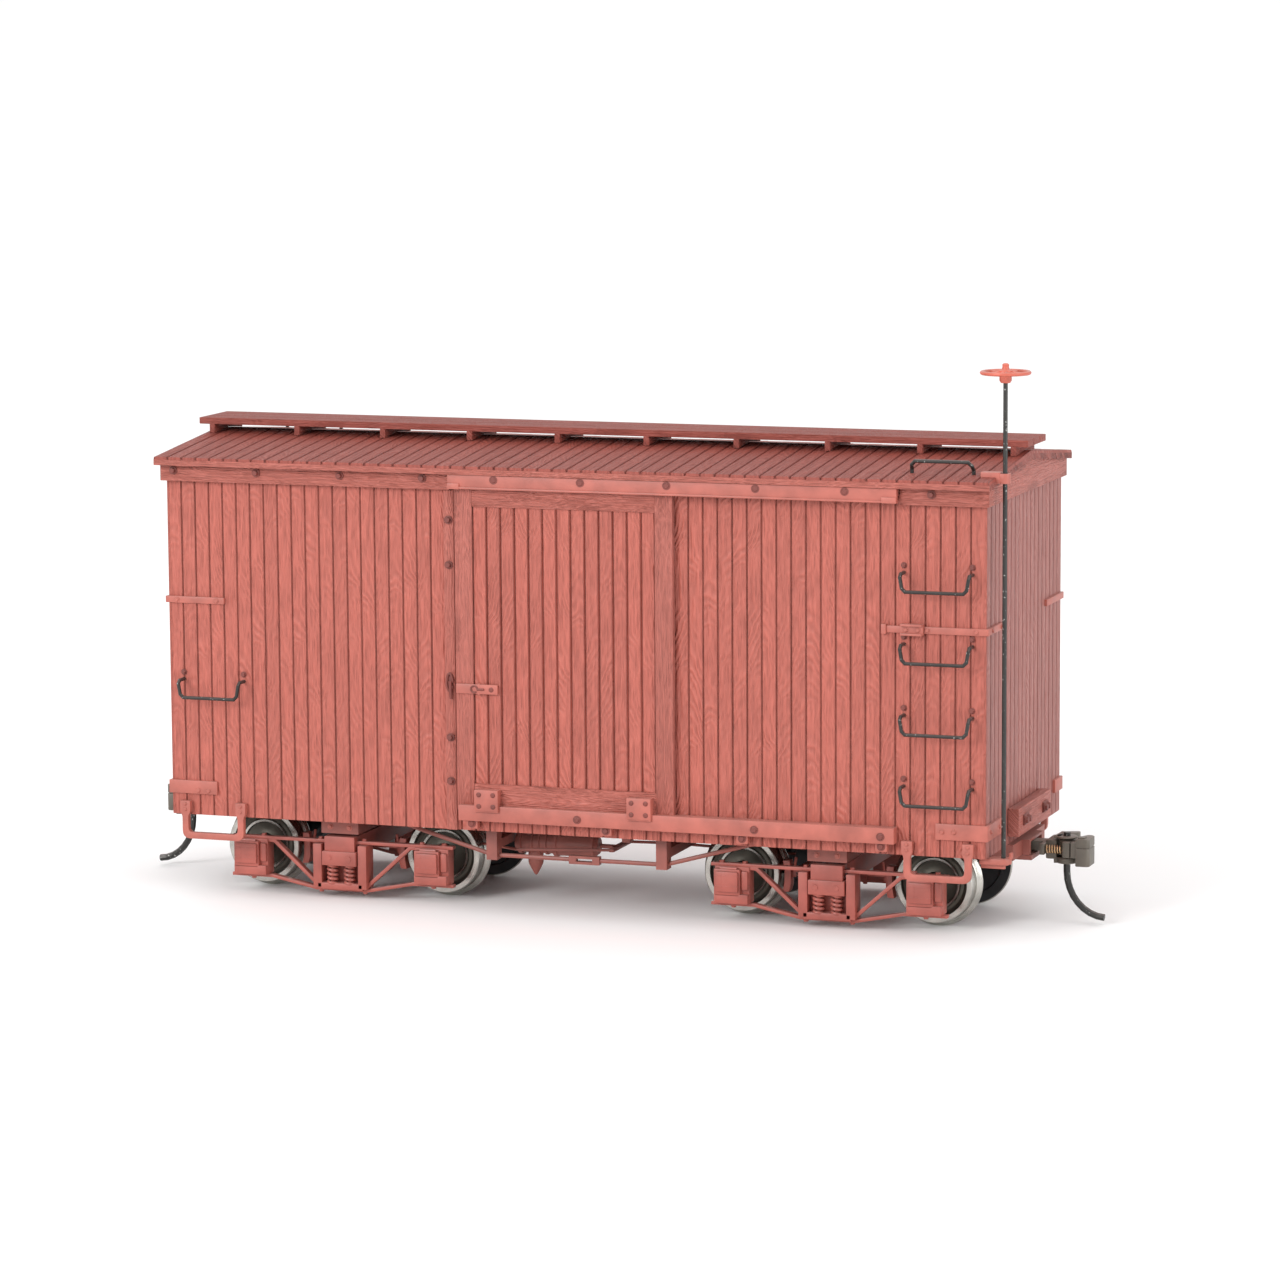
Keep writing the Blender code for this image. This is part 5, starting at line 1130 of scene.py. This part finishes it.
# %% End beams and foot bracket
beams = Gathering()
beam_x, beam_z = (BODY_END + SEAT, BODY_END + 1.55), (BODY_LOW + 1.1, BODY_LOW + 4.8)
beams.block(beam_x, (-8.3, 8.3), beam_z, 0.12, 0, "Y")
nuts = []
for y in (-5.0, 5.0):
    beams.block((beam_x[1] - 0.1, beam_x[1] + 0.25), (y - 1.2, y + 1.2), (beam_z[0] + 1.2, beam_z[0] + 2.6),
                0.12, 1)
    nuts += [((beam_x[1] + 0.2, y + dy, beam_z[0] + 1.9), (1, 0, 0)) for dy in (-0.65, 0.65)]
beams.take(fasteners(nuts, dict(NUT, Height=0.45, Radius=0.5, Washer=0.62), SHADED_BOLT_RED), 1)
beams.joined(beams.half_turned()).piece("deadwood_blocks", [TRIM, SHADED_BOLT_RED], "car",
                                        ["end_beam_a", "end_beam_b"], "oxide_body")

foot = Gathering()
foot_x, foot_y = span("brake_staff_step", "X"), span("brake_staff_step", "Y")
foot_z = (span("brake_staff_step", "Z")[0], BODY_LOW - 0.05)
foot_r = (foot_y[1] - foot_y[0]) / 2 - 0.02
foot_mid = min(STAFF[0], foot_x[1] - foot_r)


def foot_outline(radius):
    """A half-round plate that ends square against the beam."""
    return ([(foot_x[0] + 0.1, STAFF[1] - radius)]
            + [(foot_mid + u, STAFF[1] + v) for u, v in arc(radius, -math.pi / 2, math.pi / 2, 12)]
            + [(foot_x[0] + 0.1, STAFF[1] + radius)])


foot.plate(foot_outline(foot_r), "Z", foot_z[1] - 0.75, foot_z[1], 0.12)
foot.plate(foot_outline(foot_r - 0.35), "Z", foot_z[0] + 0.5, foot_z[1] - 0.7, 0.12)
foot.plate(foot_outline(foot_r - 0.8), "Z", foot_z[0], foot_z[0] + 0.55, 0.15)
hook = [(STAFF[0] + 0.75, STAFF[1], foot_z[1] - 0.2), (STAFF[0] + 1.1, STAFF[1], foot_z[1] + 0.3),
        (STAFF[0] + 0.95, STAFF[1], foot_z[1] + 0.75)]
foot.rod(bent(hook, 0.3), [0.28] * 8, 8)
foot.piece("staff_foot", [FITTING], "car", ["brake_staff_step"], "oxide_body")

# %% Steps
steps = Gathering()
step_x, step_z = span("step_a_near", "X"), span("step_a_near", "Z")
step_y = span("step_a_near", "Y")
mirror = sum(step_x)
leg_x = [step_x[0], step_x[0] + 0.3]
left_leg = [(leg_x[0], step_z[1]), (leg_x[0], step_z[1] - 1.5), (leg_x[1], step_z[1] - 2.0),
            (leg_x[1], step_z[0])]
left_window = [(leg_x[0] + 1.45, step_z[1]), (leg_x[0] + 1.45, step_z[1] - 1.5),
               (leg_x[0] + 1.15, step_z[1] - 2.0), (leg_x[0] + 1.15, step_z[0] + 0.85)]
legs, window = ([*left, *((mirror - x, z) for x, z in reversed(left))] for left in (left_leg, left_window))


def softened(line, radius):
    """(x, z) points with rounded corners."""
    return [(p.x, p.z) for p in bent([(x, 0, z) for x, z in line], radius, 4)]


step_outline = softened(legs, 1.1) + softened(window, 0.7)[::-1]
for x_shift in (0, -mirror):
    steps.plate([(x + x_shift, z) for x, z in step_outline], "Y", *step_y, 0.12)
pad_rivets = [((x + s, step_y[0], z), front) for s in (0, -mirror)
              for x in (step_x[0] + 0.72, step_x[1] - 0.72) for z in (step_z[1] - 0.4, step_z[1] - 1.15)]
steps.take(fasteners(pad_rivets, dict(RIVET, Height=0.18, Radius=0.27, Washer=0.27), FITTING), 0)
all_steps = ["step_a_near", "step_a_far", "step_b_near", "step_b_far"]
steps.joined(steps.half_turned()).piece("stirrup_steps", [FITTING], "car", all_steps, "oxide_body")

# %% [markdown]
# ## Couplers
# The coupler is moulded in grey-brown plastic. Two round plates hold the knuckle between them on
# the trip pin, and a bronze spring pushes the knuckle shut. Head and knuckle are separate pieces,
# because the knuckle swings open.

# %% Coupler heads and knuckles
PIN_X, PIN_Y = BODY_END + 6.15, -0.9
COUPLER_Z = AXLE_Z + 4.15
SWING_X = BODY_END - 4.65
head = Gathering()
head.block((SWING_X + 1.2, PIN_X - 1.6), (-1.1, 1.1), (COUPLER_Z - 0.7, COUPLER_Z + 0.7), 0.2)
eye = [(1.06, -0.7), (2.0, -0.7), (2.1, -0.55), (2.1, 0.55), (2.0, 0.7), (1.06, 0.7), (1.06, -0.7)]
head.turned(eye, Matrix.Translation((SWING_X, 0, COUPLER_Z)), 32)
TALL = (COUPLER_Z - 2.05, COUPLER_Z + 1.55)
head.block((PIN_X - 2.7, PIN_X - 1.2), (PIN_Y - 0.85, 2.5), (TALL[0] + 0.5, TALL[1] - 0.55), 0.25)
for low, high in ((TALL[0], COUPLER_Z - 1.24), (COUPLER_Z + 1.24, TALL[1])):
    disc = [(0.5, low), (1.3, low), (1.45, low + 0.12), (1.45, high - 0.12), (1.3, high), (0.5, high),
            (0.5, low)]
    head.turned(disc, Matrix.Translation((PIN_X, PIN_Y, 0)), 32)
    head.block((PIN_X - 1.6, PIN_X - 0.6), (PIN_Y - 0.85, PIN_Y + 1.4), (low, high), 0.1)
guard = [(-1.6, 3.3), (0.7, 4.05), (0.9, 3.8), (0.85, 3.0), (0.3, 1.95), (-1.6, 1.8)]
head.plate([(PIN_X + x, PIN_Y + y) for x, y in guard], "Z", TALL[0] + 0.05, TALL[1] - 0.05, 0.15)
head.block((PIN_X - 3.15, PIN_X - 2.5), (PIN_Y - 2.35, 0.5), (COUPLER_Z - 0.78, COUPLER_Z + 0.68), 0.12)

jaw = Gathering()
KNUCKLE = (COUPLER_Z - 1.05, COUPLER_Z + 1.05)
barrel_eye = [(0.54, KNUCKLE[0]), (0.9, KNUCKLE[0]), (1.0, KNUCKLE[0] + 0.1), (1.0, KNUCKLE[1] - 0.1),
              (0.9, KNUCKLE[1]), (0.54, KNUCKLE[1]), (0.54, KNUCKLE[0])]
jaw.turned(barrel_eye, Matrix.Translation((PIN_X, PIN_Y, 0)), 32)
jaw.block((PIN_X + 0.75, PIN_X + 1.9), (PIN_Y - 2.3, PIN_Y - 0.1), KNUCKLE, 0.15)
jaw.block((PIN_X - 0.08, PIN_X + 1.2), (PIN_Y - 2.3, PIN_Y - 1.1), KNUCKLE, 0.15)
jaw_outline = [(1.7, -2.45), (3.2, -2.45), (3.58, -2.1), (3.58, 0.6), (3.2, 1.15), (2.5, 1.15), (2.2, 0.5),
               (1.7, -0.6)]
jaw_points = [(PIN_X + x, PIN_Y + y) for x, y in jaw_outline]
JAW = (COUPLER_Z - 2.1, COUPLER_Z + 1.6)
seam = COUPLER_Z + 0.35
jaw.plate(jaw_points, "Z", JAW[0], seam - 0.04, 0.15)
jaw.plate(jaw_points, "Z", seam + 0.04, JAW[1], 0.15)
jaw.plate([(PIN_X + 2.6 + (x - 2.6) * 0.9, PIN_Y - 0.7 + (y + 0.7) * 0.9) for x, y in jaw_outline], "Z",
          seam - 0.3, seam + 0.3, 0)
jaw.block((PIN_X + 1.95, PIN_X + 2.9), (PIN_Y - 2.1, PIN_Y - 1.0), (JAW[1] - 0.1, JAW[1] + 0.18), 0.08)
heads, jaws = (head, head.half_turned()), (jaw, jaw.half_turned())
for letter, made in zip("ab", heads):
    made.piece(f"knuckle_coupler_{letter}", [COUPLER], f"coupler_{letter}", [f"coupler_head_{letter}"],
               "coupler_plastic")
for letter, made in zip("ab", jaws):
    made.piece(f"knuckle_jaw_{letter}", [COUPLER], f"jaw_{letter}", [f"knuckle_{letter}"], "coupler_plastic")

# %% [markdown]
# ## Hand brake
# The brake wheel is cast with a round rim, five tapered spokes and a stepped hub, held by a
# small knob of a nut.

# %% Brake wheel
wheel = Gathering()
RIM_Z = span("brake_staff", "Z")[1] - 0.4
RIM_R = span("brake_wheel", "X")[1] - STAFF[0] - 0.3
rim = [(RIM_R + 0.29 * u, RIM_Z + 0.26 * v) for u, v in arc(1.0, 0, math.tau, 10)]
wheel.turned(rim, Matrix.Translation((*STAFF, 0)), 56)
hub = [(0.36, -1.3), (0.6, -1.3), (0.8, -1.0), (0.8, -0.2), (0.95, -0.05), (0.9, 0.3), (0.5, 0.45),
       (0.42, 0.75), (0.45, 1.05), (0.25, 1.2), (0, 1.2)]
wheel.turned([(r, RIM_Z + h) for r, h in hub]
             + [(0, RIM_Z + 0.42), (0.36, RIM_Z + 0.42), (0.36, RIM_Z - 1.3)],
             Matrix.Translation((*STAFF, 0)), 24)
for n in range(5):
    a = math.tau * n / 5
    reach = [0.6, 1.4, 2.2, RIM_R]
    spoke = [(STAFF[0] + r * math.cos(a), STAFF[1] + r * math.sin(a), RIM_Z + h)
             for r, h in zip(reach, (0.1, -0.06, -0.06, 0))]
    wheel.rod(spoke, [0.27, 0.22, 0.18, 0.2], 8)
wheel.piece("brake_hand_wheel", [WHEEL_RED], "brake_shaft", ["brake_wheel"], "truck_red")

# %% [markdown]
# ## Finishes for what stays as CAD
# The wires, rods and sills keep their CAD shapes. Each gets its own finish.

# %% Paint the CAD nodes
paints = {("floor_deck",): TRIM, ("ballast_weight", "kingpin"): STEEL, ("knuckle_spring",): BRONZE,
          ("brake_staff", "ladder_rung", "corner_grab", "roof_grab", "trip_pin"): BLACK_WIRE}
for name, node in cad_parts.items():
    if node.hide_render:
        continue
    node.data.materials.clear()
    node.data.materials.append(next(
        (paint for starts, paint in paints.items() if name.startswith(starts)), UNDER_RED))
print("CAD nodes kept:", sum(not node.hide_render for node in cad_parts.values()))

# %% [markdown]
# ## Table, light and camera
# The car stands on a white sheet in a bright room with two soft lights, and is seen a little
# from the right and from above through a long lens, so that its sides stay almost parallel.

# %% Floor
floor_mesh = bpy.data.meshes.new("sheet")
SHEET = 40.0
floor_mesh.from_pydata([(-SHEET, -SHEET, 0), (SHEET, -SHEET, 0), (SHEET, SHEET, 0), (-SHEET, SHEET, 0)],
                       [], [(0, 1, 2, 3)])
floor = bpy.data.objects.new("white_sheet", floor_mesh)
bpy.context.scene.collection.objects.link(floor)
white, _, shader = new_finish("white sheet")
shader.inputs["Base Color"].default_value = (0.96, 0.96, 0.96, 1)
shader.inputs["Roughness"].default_value = 0.8
floor_mesh.materials.append(white)
floor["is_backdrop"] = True

# %% Light
world = bpy.data.worlds.new("soft room")
bpy.context.scene.world = world
world.use_nodes = True
glow = world.node_tree.nodes["Background"].inputs
glow["Color"].default_value = (1, 1, 1, 1)
glow["Strength"].default_value = 1.05


def soft_light(name, place, aim, size, power):
    """A square area light aimed at a point."""
    lamp = bpy.data.lights.new(name, "AREA")
    lamp.shape, lamp.size, lamp.energy = "SQUARE", size, power
    holder = bpy.data.objects.new(name, lamp)
    bpy.context.scene.collection.objects.link(holder)
    holder.location = place
    holder.rotation_euler = (Vector(aim) - Vector(place)).to_track_quat("-Z", "Y").to_euler()


middle = (0, 0, 0.035)
soft_light("key", (-0.5, -1.05, 0.5), middle, 0.4, 9)
soft_light("fill", (1.0, -0.3, 0.3), middle, 0.5, 4)

# %% Camera
YAW, PITCH, ROLL = 19.256, 8.139, -0.355
EYE_MM = (218.813, -615.932, 128.402)
yaw, pitch, roll = (math.radians(angle) for angle in (YAW, PITCH, ROLL))
ahead = Vector((-math.sin(yaw) * math.cos(pitch), math.cos(yaw) * math.cos(pitch), -math.sin(pitch)))
right = Vector((math.cos(yaw), math.sin(yaw), 0))
up = right.cross(ahead)
across = right * math.cos(roll) + up * math.sin(roll)
upright = up * math.cos(roll) - right * math.sin(roll)
lens = bpy.data.cameras.new("long lens")
lens.lens, lens.sensor_width = 137.29, 36
lens.clip_start, lens.clip_end = 0.05, 50
camera = bpy.data.objects.new("camera", lens)
bpy.context.scene.collection.objects.link(camera)
camera.matrix_world = Matrix.Translation(Vector(EYE_MM) * MM) @ Matrix(
    (across, upright, -ahead)).transposed().to_4x4()
bpy.context.scene.camera = camera
bpy.context.scene.view_settings.view_transform = "Standard"

# %% Measure and finish
low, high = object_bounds()
print("visual box, mm:", [round(side / MM, 2) for side in high - low])
